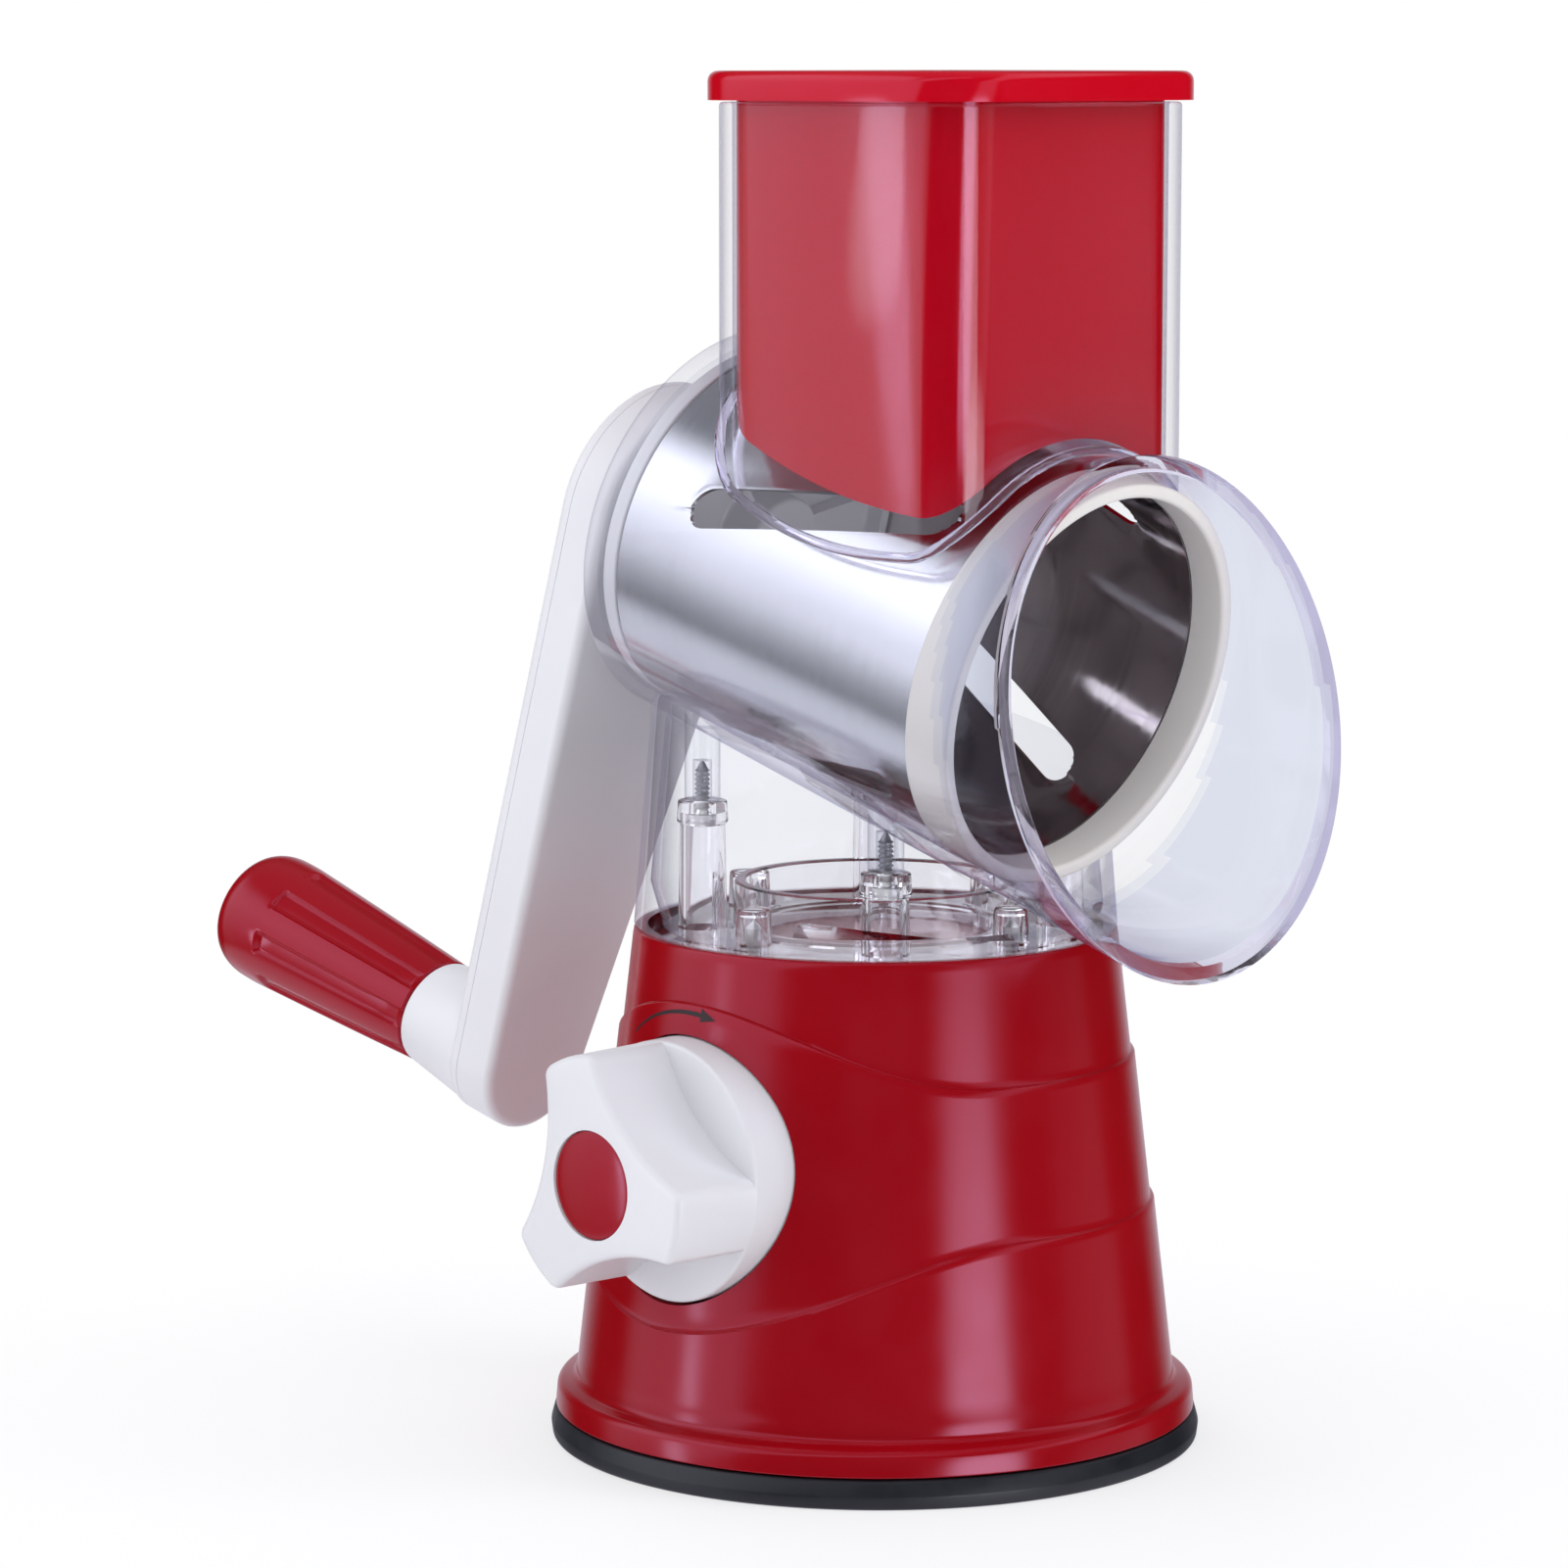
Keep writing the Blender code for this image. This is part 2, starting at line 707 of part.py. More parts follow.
def lift_yoke():
    """A window that the cam turns in, on a stem down to the rubber cup."""
    side = CAM_RADIUS + CAM_THROW + 2 * GAP
    top = KNOB_HEIGHT + CAM_RADIUS + CAM_LASH
    bottom = KNOB_HEIGHT - CAM_RADIUS - CAM_LASH
    half = CAM_THICKNESS / 2
    yoke = block(
        "lift_yoke",
        (-half, -side - YOKE_BAR, bottom - YOKE_BAR),
        (half, side + YOKE_BAR, top + YOKE_BAR),
        bracket_frame,
        white,
    )
    window = block("yoke_window", (-side, -side, bottom), (side, side, top), bracket_frame)
    stem = rod(
        "yoke_stem",
        YOKE_STEM_RADIUS,
        CUP_RISE + HOUSING_WALL + GAP,
        bottom - YOKE_BAR / 2,
        world,
        steps=SMALL,
    )
    cut(yoke, window)
    join(yoke, stem)


def lock_knob():
    """A round knob with three scooped flanks, a red cap and a screw under it."""
    knob = rod(
        "lock_knob",
        KNOB_RADIUS,
        knob_back,
        knob_front,
        knob_frame,
        white,
        knob_axis,
        steps=FINE,
        top_radius=KNOB_TIP_RADIUS,
    )
    # A scoop's arc passes through the corners of two tips and the waist between them
    half = pi / 3 - KNOB_TIP_ANGLE
    along = KNOB_TIP_RADIUS * cos(half)
    across = KNOB_TIP_RADIUS * sin(half)
    centre = (KNOB_TIP_RADIUS**2 - KNOB_WAIST_RADIUS**2) / (2 * (along - KNOB_WAIST_RADIUS))
    scoop_radius = centre - KNOB_WAIST_RADIUS
    spread = 1.15 * across / scoop_radius
    for i in range(3):
        middle = KNOB_TIP_TURN + pi / 3 + 2 * pi / 3 * i
        outline = [
            (centre - scoop_radius * cos(spread * (j / 5 - 1)), scoop_radius * sin(spread * (j / 5 - 1)))
            for j in range(11)
        ]
        outline += [(centre, across * 1.6), (centre, -across * 1.6)]
        scoop = prism(
            f"knob_scoop_{i + 1}",
            outline,
            knob_ledge,
            knob_front + KNOB_WAIST_RADIUS,
            knob_frame @ Matrix.Rotation(knob_spin(middle), 4, "Z"),
        )
        cut(knob, scoop)
    hollow_depth = knob_ledge - SHELL_WALL
    hollow = turned(
        "knob_hollow",
        ring(CAM_SQUARE + SHELL_WALL, KNOB_RADIUS - SHELL_WALL, knob_back - SHELL_WALL, hollow_depth),
        knob_frame,
        closed=True,
    )
    half_square = CAM_SQUARE / 2 + GAP
    socket = block(
        "knob_socket",
        (-half_square, -half_square, knob_back - SHELL_WALL),
        (half_square, half_square, square_end() + GAP),
        knob_frame,
    )
    neck = rod(
        "knob_neck",
        CAM_SHAFT_RADIUS + GAP,
        knob_back - SHELL_WALL,
        knob_back + CAM_SHOULDER + GAP,
        knob_frame,
    )
    cap_floor = knob_front - KNOB_CAP_THICKNESS - GAP
    beyond = knob_front + SHELL_WALL
    recess = rod("knob_cap_recess", KNOB_CAP_RADIUS + GAP, cap_floor, beyond, knob_frame, steps=MEDIUM)
    head_seat = square_end() + GAP + SHELL_WALL
    head_room = rod("knob_head_room", SCREW_HEAD_RADIUS + 2 * GAP, head_seat, beyond, knob_frame)
    through = rod("knob_screw_hole", SCREW_RADIUS + GAP, square_end() - GAP, beyond, knob_frame, steps=TINY)
    cut(knob, hollow, socket, neck, recess, head_room, through)
    rod(
        "knob_cap",
        KNOB_CAP_RADIUS,
        cap_floor + GAP,
        knob_front,
        knob_frame,
        red,
        knob_axis,
        steps=MEDIUM,
        top_radius=KNOB_CAP_RADIUS - GAP,
    )
    turned_over = knob_frame @ Matrix.Translation((0, 0, head_seat)) @ Matrix.Rotation(pi, 4, "X")
    screw("knob_screw", turned_over, -GAP, length=SCREW_LENGTH, parent=knob_axis)


def knob_spin(angle):
    """Turns an angle seen on the knob's face, measured from horizontal, into a turn about its axis."""
    return angle + pi / 2


# Tower


def tower_loop(height, inset, count=FINE):
    """A circle at the seat that becomes a rounded rectangle towards the barrel."""
    share = (height - tower_seat) / TOWER_HEIGHT
    foot = SHELL_TOP_RADIUS - inset
    power = 2 / TOWER_CORNER_POWER
    points = []
    for i in range(count):
        across = cos(2 * pi * i / count)
        along = sin(2 * pi * i / count)
        top_x = (TOWER_TOP_HALF_X - inset) * copysign(abs(across) ** power, across)
        top_y = (TOWER_TOP_HALF_Y - inset) * copysign(abs(along) ** power, along)
        x = foot * across * (1 - share) + top_x * share
        y = foot * along * (1 - share) + top_y * share
        points.append((x, y, height))
    return points


def post_places():
    return [
        (REAR_POST_X, REAR_POST_Y, REAR_POST_HEIGHT),
        (-REAR_POST_X, REAR_POST_Y, REAR_POST_HEIGHT),
        (-FRONT_POST_X, FRONT_POST_Y, FRONT_POST_HEIGHT),
        (FRONT_POST_X, FRONT_POST_Y, FRONT_POST_HEIGHT),
    ]


def clear_tower():
    """The clear skirt on the base, its floor, locating ring and four screw tubes."""
    spigot = SHELL_TOP_RADIUS - SHELL_WALL - GAP
    top = tower_seat + TOWER_HEIGHT + TOWER_OVERRUN
    outer = [
        circle(spigot, tower_floor_bottom),
        circle(spigot, tower_seat),
        tower_loop(tower_seat, WAVE_STEP / 2),
        tower_loop(tower_seat + WAVE_STEP / 2, 0),
        tower_loop(top, 0),
    ]
    tower = loft("clear_tower", outer, world, clear)

    foot_inset = SHELL_WALL + GAP + HOUSING_WALL
    inner = [
        circle(SHELL_TOP_RADIUS - foot_inset, tower_floor_top),
        tower_loop(tower_seat + HOUSING_WALL, foot_inset),
        tower_loop(tower_seat + 2 * HOUSING_WALL, HOUSING_WALL),
        tower_loop(top + GAP, HOUSING_WALL),
    ]
    hollow = loft("tower_hollow", inner, world)
    floor_hole = rod(
        "tower_floor_hole",
        LOCATING_RING_RADIUS - 2 * HOUSING_WALL,
        deck_top,
        tower_floor_top + GAP,
        world,
        steps=MEDIUM,
    )
    cut(tower, hollow, floor_hole)
    locator = turned(
        "locating_ring",
        ring(
            LOCATING_RING_RADIUS - HOUSING_WALL,
            LOCATING_RING_RADIUS,
            tower_floor_top - TOWER_FLOOR / 2,
            tower_floor_top + LOCATING_RING_HEIGHT,
        ),
        world,
        closed=True,
    )
    join(tower, locator)
    head_bore = SCREW_HEAD_RADIUS + 2 * GAP
    for i, (x, y, height) in enumerate(post_places()):
        matrix = Matrix.Translation((x, y, 0))
        collar_top = tower_floor_top + height
        tube = rod(
            f"tower_tube_{i + 1}",
            head_bore + BOSS_WALL,
            tower_floor_top - TOWER_FLOOR / 2,
            collar_top,
            matrix,
        )
        join(tower, tube)
        bore = rod(f"tower_tube_bore_{i + 1}", head_bore, deck_top, collar_top - HOUSING_WALL, matrix)
        hole = rod(
            f"tower_tube_hole_{i + 1}", SCREW_RADIUS + GAP, deck_top, collar_top + GAP * 2, matrix, steps=TINY
        )
        cut(tower, bore, hole)
        screw(f"housing_screw_{i + 1}", matrix, collar_top - HOUSING_WALL - GAP, length=SCREW_LENGTH)
    for i, (x, y) in enumerate(base_screw_places()):
        matrix = Matrix.Translation((x, y, 0))
        peg = rod(
            f"tower_peg_{i + 1}",
            SCREW_RADIUS + GAP + BOSS_WALL,
            tower_floor_top - TOWER_FLOOR / 2,
            tower_floor_top + PEG_HEIGHT,
            matrix,
            steps=SMALL,
        )
        join(tower, peg)
        cut(
            tower,
            rod(
                f"tower_peg_bore_{i + 1}",
                SCREW_RADIUS + GAP,
                deck_top,
                tower_floor_top + PEG_HEIGHT - BOSS_WALL,
                matrix,
                steps=TINY,
            ),
        )
        reach = tower_floor_top + PEG_HEIGHT - BOSS_WALL - GAP - deck_bottom
        screw(f"base_screw_{i + 1}", matrix, deck_bottom - GAP, length=reach)
    cut(tower, barrel_body("tower_saddle", GAP))


# Barrel housing


def barrel_radius(reach):
    """Outer radius of the barrel at a reach along its axis, positive towards the mouth."""
    share = (reach + BARREL_BACK) / (BARREL_FRONT + BARREL_BACK)
    return BARREL_BACK_RADIUS + (BARREL_FRONT_RADIUS - BARREL_BACK_RADIUS) * share


def tilted_circle(reach, radius, lift=0.0, turn=0.0, count=FINE):
    """A circle across the axis, whose top leans back by the turn."""
    return [
        (
            radius * cos(2 * pi * i / count),
            lift + radius * sin(2 * pi * i / count) * cos(turn),
            reach - radius * sin(2 * pi * i / count) * sin(turn),
        )
        for i in range(count)
    ]


def bell_sections(offset, steps=5):
    """The barrel's front circle opens and leans until it is the mouth's rim."""
    sections = []
    for i in range(1, steps + 1):
        share = i / steps
        sections.append(
            tilted_circle(
                BARREL_FRONT + (MOUTH_REACH - BARREL_FRONT) * share,
                BARREL_FRONT_RADIUS + offset + MOUTH_FLARE * share**MOUTH_OPENING,
                MOUTH_LIFT * share,
                MOUTH_TURN * share,
            )
        )
    return sections


def barrel_body(name, offset, material=None, beyond=0.0, back=BARREL_BACK):
    """The barrel and its bell as one solid, grown by the offset and run on past the rim."""
    sections = [
        tilted_circle(-back, barrel_radius(-back) + offset),
        tilted_circle(BARREL_FRONT, barrel_radius(BARREL_FRONT) + offset),
        *bell_sections(offset),
    ]
    if beyond:
        sections.append(
            tilted_circle(
                MOUTH_REACH + beyond * cos(MOUTH_TURN),
                mouth_radius + offset,
                MOUTH_LIFT + beyond * sin(MOUTH_TURN),
                MOUTH_TURN,
            )
        )
    return loft(name, sections, barrel_frame, material)


def drum_housing():
    """The clear barrel with its bell mouth, hopper and four screw bosses, in one moulding."""
    housing = barrel_body("drum_housing", 0.0, clear)
    centre = Matrix.Translation((0, BARREL_Y, 0))
    hopper = prism(
        "hopper_outside",
        rounded_box(HOPPER_HALF_X, HOPPER_HALF_Y, HOPPER_CORNER),
        barrel_z + HOUSING_WALL * 2,
        hopper_top,
        centre,
    )
    join(housing, hopper)
    for i, (x, y, height) in enumerate(post_places()):
        boss = rod(
            f"housing_boss_{i + 1}",
            SCREW_RADIUS + GAP + BOSS_WALL,
            tower_floor_top + height + GAP,
            barrel_z,
            Matrix.Translation((x, y, 0)),
            steps=SMALL,
        )
        join(housing, boss)
    bore = barrel_body("barrel_bore", -HOUSING_WALL, beyond=HOUSING_WALL * 2, back=barrel_bore_back)
    chute = prism(
        "hopper_inside",
        rounded_box(
            HOPPER_HALF_X - HOUSING_WALL, HOPPER_HALF_Y - HOUSING_WALL, HOPPER_CORNER - HOUSING_WALL
        ),
        barrel_z + HOUSING_WALL,
        hopper_top + HOUSING_WALL,
        centre,
    )
    back_hole = rod(
        "bush_hole",
        BUSH_RADIUS + GAP,
        -BARREL_BACK - HOUSING_WALL,
        -barrel_bore_back + HOUSING_WALL,
        barrel_frame,
        steps=MEDIUM,
    )
    cut(housing, bore, chute, back_hole)
    for i, (x, y, height) in enumerate(post_places()):
        thread = rod(
            f"housing_thread_{i + 1}",
            SCREW_RADIUS + GAP,
            tower_floor_top + height - GAP,
            tower_floor_top + height + SCREW_LENGTH - HOUSING_WALL,
            Matrix.Translation((x, y, 0)),
            steps=TINY,
        )
        cut(housing, thread)


def pusher():
    """A hollow plunger whose foot is arched to the drum, with a flange that rests on the hopper."""
    half_x = HOPPER_HALF_X - HOUSING_WALL - PUSHER_CLEARANCE
    half_y = HOPPER_HALF_Y - HOUSING_WALL - PUSHER_CLEARANCE
    corner = HOPPER_CORNER - HOUSING_WALL - PUSHER_CLEARANCE
    centre = Matrix.Translation((0, BARREL_Y, 0))
    body = prism("pusher", rounded_box(half_x, half_y, corner), barrel_z, pusher_seat + GAP, centre, red)
    top = pusher_seat + PUSHER_FLANGE_HEIGHT
    round_over = PUSHER_FLANGE_HEIGHT * 0.45
    sections = []
    for height, inset in (
        (pusher_seat, 0.0),
        (top - round_over, 0.0),
        (top - round_over * 0.3, round_over * 0.3),
        (top, round_over),
    ):
        outline = rounded_box(
            HOPPER_HALF_X + PUSHER_FLANGE - inset,
            HOPPER_HALF_Y + PUSHER_FLANGE - inset,
            HOPPER_CORNER + PUSHER_FLANGE - inset,
        )
        sections.append([(x, y, height) for x, y in outline])
    flange = loft("pusher_flange", sections, centre)
    arch = rod("pusher_arch", pusher_arch_radius, -BARREL_BACK, MOUTH_REACH, barrel_frame, steps=ARCH)
    cup = prism(
        "pusher_cup",
        rounded_box(half_x - PUSHER_WALL, half_y - PUSHER_WALL, corner - PUSHER_WALL),
        barrel_z,
        top + PUSHER_WALL,
        centre,
    )
    cup_floor = rod(
        "pusher_cup_floor",
        pusher_arch_radius + PUSHER_WALL,
        -BARREL_BACK,
        MOUTH_REACH,
        barrel_frame,
        steps=ARCH,
    )
    cut(cup, cup_floor)
    join(body, flange)
    cut(body, arch, cup)


# Drum


def drum_radius(reach):
    """Outer radius of the steel, which follows the barrel."""
    share = (reach + DRUM_BACK) / (BARREL_FRONT + DRUM_BACK)
    front = BARREL_FRONT_RADIUS - HOUSING_WALL - DRUM_CLEARANCE - ring_wall()
    return drum_back_radius + (front - drum_back_radius) * share


def ring_wall():
    return 2 * DRUM_STEEL


def drum_shell():
    """A steel sleeve with oblique slots, as a sheet that follows their slant and is then thickened."""
    half_slot = SLOT_WIDTH / 2 / drum_back_radius
    between = 2 * pi / SLOT_COUNT - 2 * half_slot
    columns = [-half_slot, -half_slot / 2, 0.0, half_slot / 2]
    columns += [half_slot + between * i / 9 for i in range(9)]
    round_end = SLOT_WIDTH * 0.25
    rows = [-DRUM_BACK, -DRUM_BACK + 0.0075, SLOT_START, SLOT_START + round_end]
    rows += [SLOT_START + round_end + (SLOT_END - SLOT_START - 2 * round_end) * i / 4 for i in range(1, 5)]
    rows += [SLOT_END, steel_front]
    body = bmesh.new()
    grid = []
    for row, reach in enumerate(rows):
        line = []
        for slot in range(SLOT_COUNT):
            for column, offset in enumerate(columns):
                here = reach
                at_edge = column in (0, 4)
                if at_edge and row == 2:
                    here = SLOT_START + round_end * 0.35
                if at_edge and row == len(rows) - 2:
                    here = SLOT_END - round_end * 0.35
                pull = 0.84 if at_edge and row in (2, len(rows) - 2) else 1.0
                turn = SLOT_TURN + 2 * pi / SLOT_COUNT * slot + offset * pull
                turn -= SLOT_TWIST * (here - SLOT_START) / (SLOT_END - SLOT_START)
                radius = drum_radius(here)
                line.append(body.verts.new((radius * cos(turn), radius * sin(turn), here)))
        grid.append(line)
    count = len(grid[0])
    for row in range(len(rows) - 1):
        open_row = 2 <= row <= len(rows) - 3
        for i in range(count):
            if open_row and i % len(columns) < 4:
                continue
            j = (i + 1) % count
            body.faces.new((grid[row][i], grid[row][j], grid[row + 1][j], grid[row + 1][i]))
    bmesh.ops.delete(body, geom=[v for v in body.verts if not v.link_faces], context="VERTS")
    bmesh.ops.recalc_face_normals(body, faces=body.faces)
    mesh = bpy.data.meshes.new("drum_shell")
    body.to_mesh(mesh)
    body.free()
    shell = link("drum_shell", mesh, barrel_frame, steel, crank_axis)
    wall = shell.modifiers.new("Sheet", "SOLIDIFY")
    wall.thickness = DRUM_STEEL
    wall.offset = -1.0
    wall.use_even_offset = True


def drum_front_ring():
    """The plastic hoop over the drum's open end."""
    outer_back = barrel_radius(RING_BACK) - HOUSING_WALL - DRUM_CLEARANCE
    outer_front = barrel_radius(ring_front) - HOUSING_WALL - DRUM_CLEARANCE
    inner = drum_radius(steel_front) - DRUM_STEEL
    seat = drum_radius(steel_front) + GAP
    turned(
        "drum_front_ring",
        [
            (outer_front, ring_front),
            (outer_back, RING_BACK),
            (seat, RING_BACK),
            (seat, steel_front + GAP),
            (inner, steel_front + GAP),
            (inner, ring_front),
        ],
        barrel_frame,
        ivory,
        crank_axis,
        steps=FINE,
        closed=True,
    )


def drum_hub():
    """The plastic back of the drum: a flange behind the steel, a spigot inside it and a hex socket."""
    flange_front = -DRUM_BACK - GAP
    flange_back = flange_front - DRUM_HUB_THICKNESS
    spigot = drum_radius(-DRUM_BACK) - DRUM_STEEL - GAP
    boss = drive_radius() + GAP + HOUSING_WALL
    boss_front = drive_tip() + GAP + HOUSING_WALL
    hub = turned(
        "drum_hub",
        [
            (0, boss_front),
            (boss, boss_front),
            (boss, flange_front + HOUSING_WALL / 2),
            (spigot - HOUSING_WALL, flange_front + HOUSING_WALL / 2),
            (spigot - HOUSING_WALL, flange_front + DRUM_HUB_SPIGOT),
            (spigot, flange_front + DRUM_HUB_SPIGOT),
            (spigot, flange_front),
            (drum_back_radius + DRUM_CLEARANCE, flange_front),
            (drum_back_radius + DRUM_CLEARANCE, flange_back),
            (0, flange_back),
        ],
        barrel_frame,
        white,
        crank_axis,
        steps=FINE,
    )
    socket = rod(
        "hub_socket",
        (DRIVE_FLATS / 2 + GAP) / cos(pi / 6),
        flange_back - HOUSING_WALL,
        drive_tip() + GAP,
        barrel_frame,
        steps=6,
    )
    cut(hub, socket)


def drive_radius():
    return DRIVE_FLATS / 2 / cos(pi / 6)


def drive_tip():
    return -barrel_bore_back + DRIVE_LENGTH


# Crank


def bush_flange_back():
    return -BARREL_BACK - GAP - BUSH_FLANGE_THICKNESS


def rear_bush():
    """The flanged bush that lines the hole in the barrel's back."""
    turned(
        "rear_bush",
        [
            (BUSH_RADIUS, -barrel_bore_back),
            (BUSH_RADIUS, -BARREL_BACK - GAP),
            (BUSH_FLANGE, -BARREL_BACK - GAP),
            (BUSH_FLANGE, bush_flange_back()),
            (JOURNAL_RADIUS + GAP, bush_flange_back()),
            (JOURNAL_RADIUS + GAP, -barrel_bore_back),
        ],
        barrel_frame,
        ivory,
        steps=MEDIUM,
        closed=True,
    )


def drive_coupling():
    """The shoulder, journal and hex drive that carry the arm's turn into the drum."""
    shoulder_front = bush_flange_back() - GAP
    shoulder_back = arm_front + GAP
    coupling = turned(
        "drive_coupling",
        [
            (0, -barrel_bore_back - GAP),
            (JOURNAL_RADIUS, -barrel_bore_back - GAP),
            (JOURNAL_RADIUS, shoulder_front),
            (COUPLING_RADIUS, shoulder_front),
            (COUPLING_RADIUS, shoulder_back),
            (0, shoulder_back),
        ],
        barrel_frame,
        white,
        crank_axis,
    )
    hexagon = rod(
        "drive_hexagon", drive_radius(), -barrel_bore_back - HOUSING_WALL, drive_tip(), barrel_frame, steps=6
    )
    half = TENON_SIDE / 2
    tenon = block(
        "drive_tenon",
        (-half, -half, arm_front - ARM_FRONT_WALL),
        (half, half, shoulder_back + HOUSING_WALL),
        barrel_frame,
    )
    join(coupling, hexagon, tenon)
    bore = rod(
        "drive_bore",
        SCREW_RADIUS + GAP,
        arm_front - 2 * ARM_FRONT_WALL,
        arm_front - ARM_FRONT_WALL + SCREW_LENGTH + GAP,
        barrel_frame,
        steps=TINY,
    )
    cut(coupling, bore)
    screw(
        "crank_screw",
        barrel_frame,
        arm_front - ARM_FRONT_WALL - GAP,
        length=SCREW_LENGTH,
        parent=crank_axis,
    )


def arm_outline(inset=0.0, per_end=12):
    """The hull of the hub's circle and the handle's circle, anticlockwise."""
    hub = Vector((ARM_HUB_X, -ARM_HUB_DROP))
    end = Vector((ARM_END_X, -ARM_END_DROP))
    span = end - hub
    heading = atan2(span.y, span.x)
    half = acos((ARM_HUB_RADIUS - ARM_END_RADIUS) / span.length)
    points = []
    for i in range(per_end + 1):
        angle = heading - half + 2 * half * i / per_end
        points.append(end + (ARM_END_RADIUS - inset) * Vector((cos(angle), sin(angle))))
    for i in range(per_end + 1):
        angle = heading + half + 2 * (pi - half) * i / per_end
        points.append(hub + (ARM_HUB_RADIUS - inset) * Vector((cos(angle), sin(angle))))
    return points


def crank_arm():
    """The arm's tray, open to the back, with a square hole over the coupling's tenon."""
    edge = ARM_SIDE_WALL * 0.5
    sections = []
    for reach, inset in ((cover_front + GAP, 0.0), (arm_front - edge, 0.0), (arm_front, edge)):
        sections.append([(x, y, reach) for x, y in arm_outline(inset)])
    arm = loft("crank_arm", sections, barrel_frame, white, crank_axis)
    tray = prism(
        "arm_tray",
        arm_outline(ARM_SIDE_WALL),
        arm_back,
        arm_front - ARM_FRONT_WALL,
        barrel_frame,
    )
    half = TENON_SIDE / 2 + GAP
    hole = block("arm_square", (-half, -half, arm_back), (half, half, arm_front + HOUSING_WALL), barrel_frame)
    cut(arm, tray, hole)


def crank_cover():
    """The arm's back plate, with the conical socket that carries the handle."""
    edge = ARM_SIDE_WALL * 0.5
    sections = []
    for reach, inset in ((arm_back, edge), (arm_back + edge, 0.0), (cover_front, 0.0)):
        sections.append([(x, y, reach) for x, y in arm_outline(inset)])
    cover = loft("crank_cover", sections, barrel_frame, white, crank_axis)
    socket = rod(
        "cover_socket",
        SOCKET_RADIUS,
        socket_end,
        cover_front - COVER_THICKNESS / 2,
        grip_frame,
        steps=MEDIUM,
        top_radius=ARM_END_RADIUS - edge / 2,
    )
    join(cover, socket)
    bore = rod(
        "cover_bore", SPINDLE_RADIUS + GAP, socket_end - GAP, cover_front + COVER_THICKNESS, grip_frame
    )
    cut(cover, bore)


def spindle_tip():
    return grip_far + GRIP_CAP_DEPTH + SCREW_HEAD_HEIGHT + 5 * GAP


def grip_spindle():
    """The steel pin that the handle turns on, headed inside the arm."""
    head_front = cover_front + 2 * GAP + SCREW_HEAD_HEIGHT
    spindle = turned(
        "grip_spindle",
        [
            (0, head_front),
            (SPINDLE_HEAD_RADIUS, head_front),
            (SPINDLE_HEAD_RADIUS, cover_front + GAP),
            (SPINDLE_RADIUS, cover_front + GAP),
            (SPINDLE_RADIUS, spindle_tip()),
            (0, spindle_tip()),
        ],
        grip_frame,
        steel,
        crank_axis,
        steps=SMALL,
    )
    bore = rod(
        "spindle_thread",
        SCREW_RADIUS + GAP,
        spindle_tip() - GAP,
        spindle_tip() + SCREW_LENGTH + GAP,
        grip_frame,
        steps=TINY,
    )
    cut(spindle, bore)
    screw("grip_screw", grip_frame, spindle_tip() - GAP, length=SCREW_LENGTH, parent=crank_axis)


def grip_radius(share):
    """The handle's radius from its socket end, 0, to its far end, 1."""
    grown = min(1.0, share / GRIP_SHOULDER) ** GRIP_SWELL
    return SOCKET_RADIUS + (GRIP_FAR_RADIUS - SOCKET_RADIUS) * grown


def crank_grip():
    """The red handle: a taper with shallow flutes that fade before a round end."""
    per_flute = 6
    count = GRIP_FLUTES * per_flute
    body_end = grip_far + GRIP_CAP_DEPTH * 0.55
    sections = []
    for share in (0.0, 0.02, 0.3, 0.6, 0.74, 0.8, 0.9, 0.97, 1.0):
        reach = grip_near + (body_end - grip_near) * share
        radius = grip_radius(share)
        if share == 0.97:
            radius = GRIP_FAR_RADIUS - GRIP_FLUTE_DEPTH
        if share == 1.0:
            radius = GRIP_CAP_RADIUS + GAP + (GRIP_FAR_RADIUS - GRIP_CAP_RADIUS) * 0.35
        fluted = 0.0 if share == 0.0 or share > 0.75 else 1.0
        loop = []
        for i in range(count):
            angle = 2 * pi * i / count
            depth = GRIP_FLUTE_DEPTH * fluted if i % per_flute in (1, 2, 3) else 0.0
            loop.append(((radius - depth) * cos(angle), (radius - depth) * sin(angle), reach))
        sections.append(loop)
    grip = loft("crank_grip", sections, grip_frame, red, grip_axis)
    bore = rod("grip_bore", SPINDLE_RADIUS + GAP, grip_far - GAP, grip_near + HOUSING_WALL, grip_frame)
    cap_seat = grip_far + GRIP_CAP_DEPTH
    recess = rod(
        "grip_cap_recess", GRIP_CAP_RADIUS + GAP, grip_far - HOUSING_WALL, cap_seat, grip_frame, steps=MEDIUM
    )
    head_room = rod("grip_head_room", SCREW_HEAD_RADIUS + 2 * GAP, grip_far, spindle_tip() + GAP, grip_frame)
    cut(grip, bore, recess, head_room)
    dome = grip_far + GRIP_DOME
    turned(
        "grip_end_cap",
        [
            (0, cap_seat - GAP),
            (GRIP_CAP_RADIUS, cap_seat - GAP),
            (GRIP_CAP_RADIUS, dome),
            (GRIP_CAP_RADIUS * cos(radians(30)), dome - GRIP_DOME * sin(radians(30))),
            (GRIP_CAP_RADIUS * cos(radians(60)), dome - GRIP_DOME * sin(radians(60))),
            (0, grip_far),
        ],
        grip_frame,
        red,
        grip_axis,
        steps=MEDIUM,
    )


suction_cup()
bottom_plate()
cam_bracket()
cam_shaft()
lift_yoke()
base_shell()
lock_knob()
clear_tower()
drum_housing()
pusher()
drum_shell()
drum_front_ring()
drum_hub()
rear_bush()
drive_coupling()
crank_arm()
crank_cover()
grip_spindle()
crank_grip()

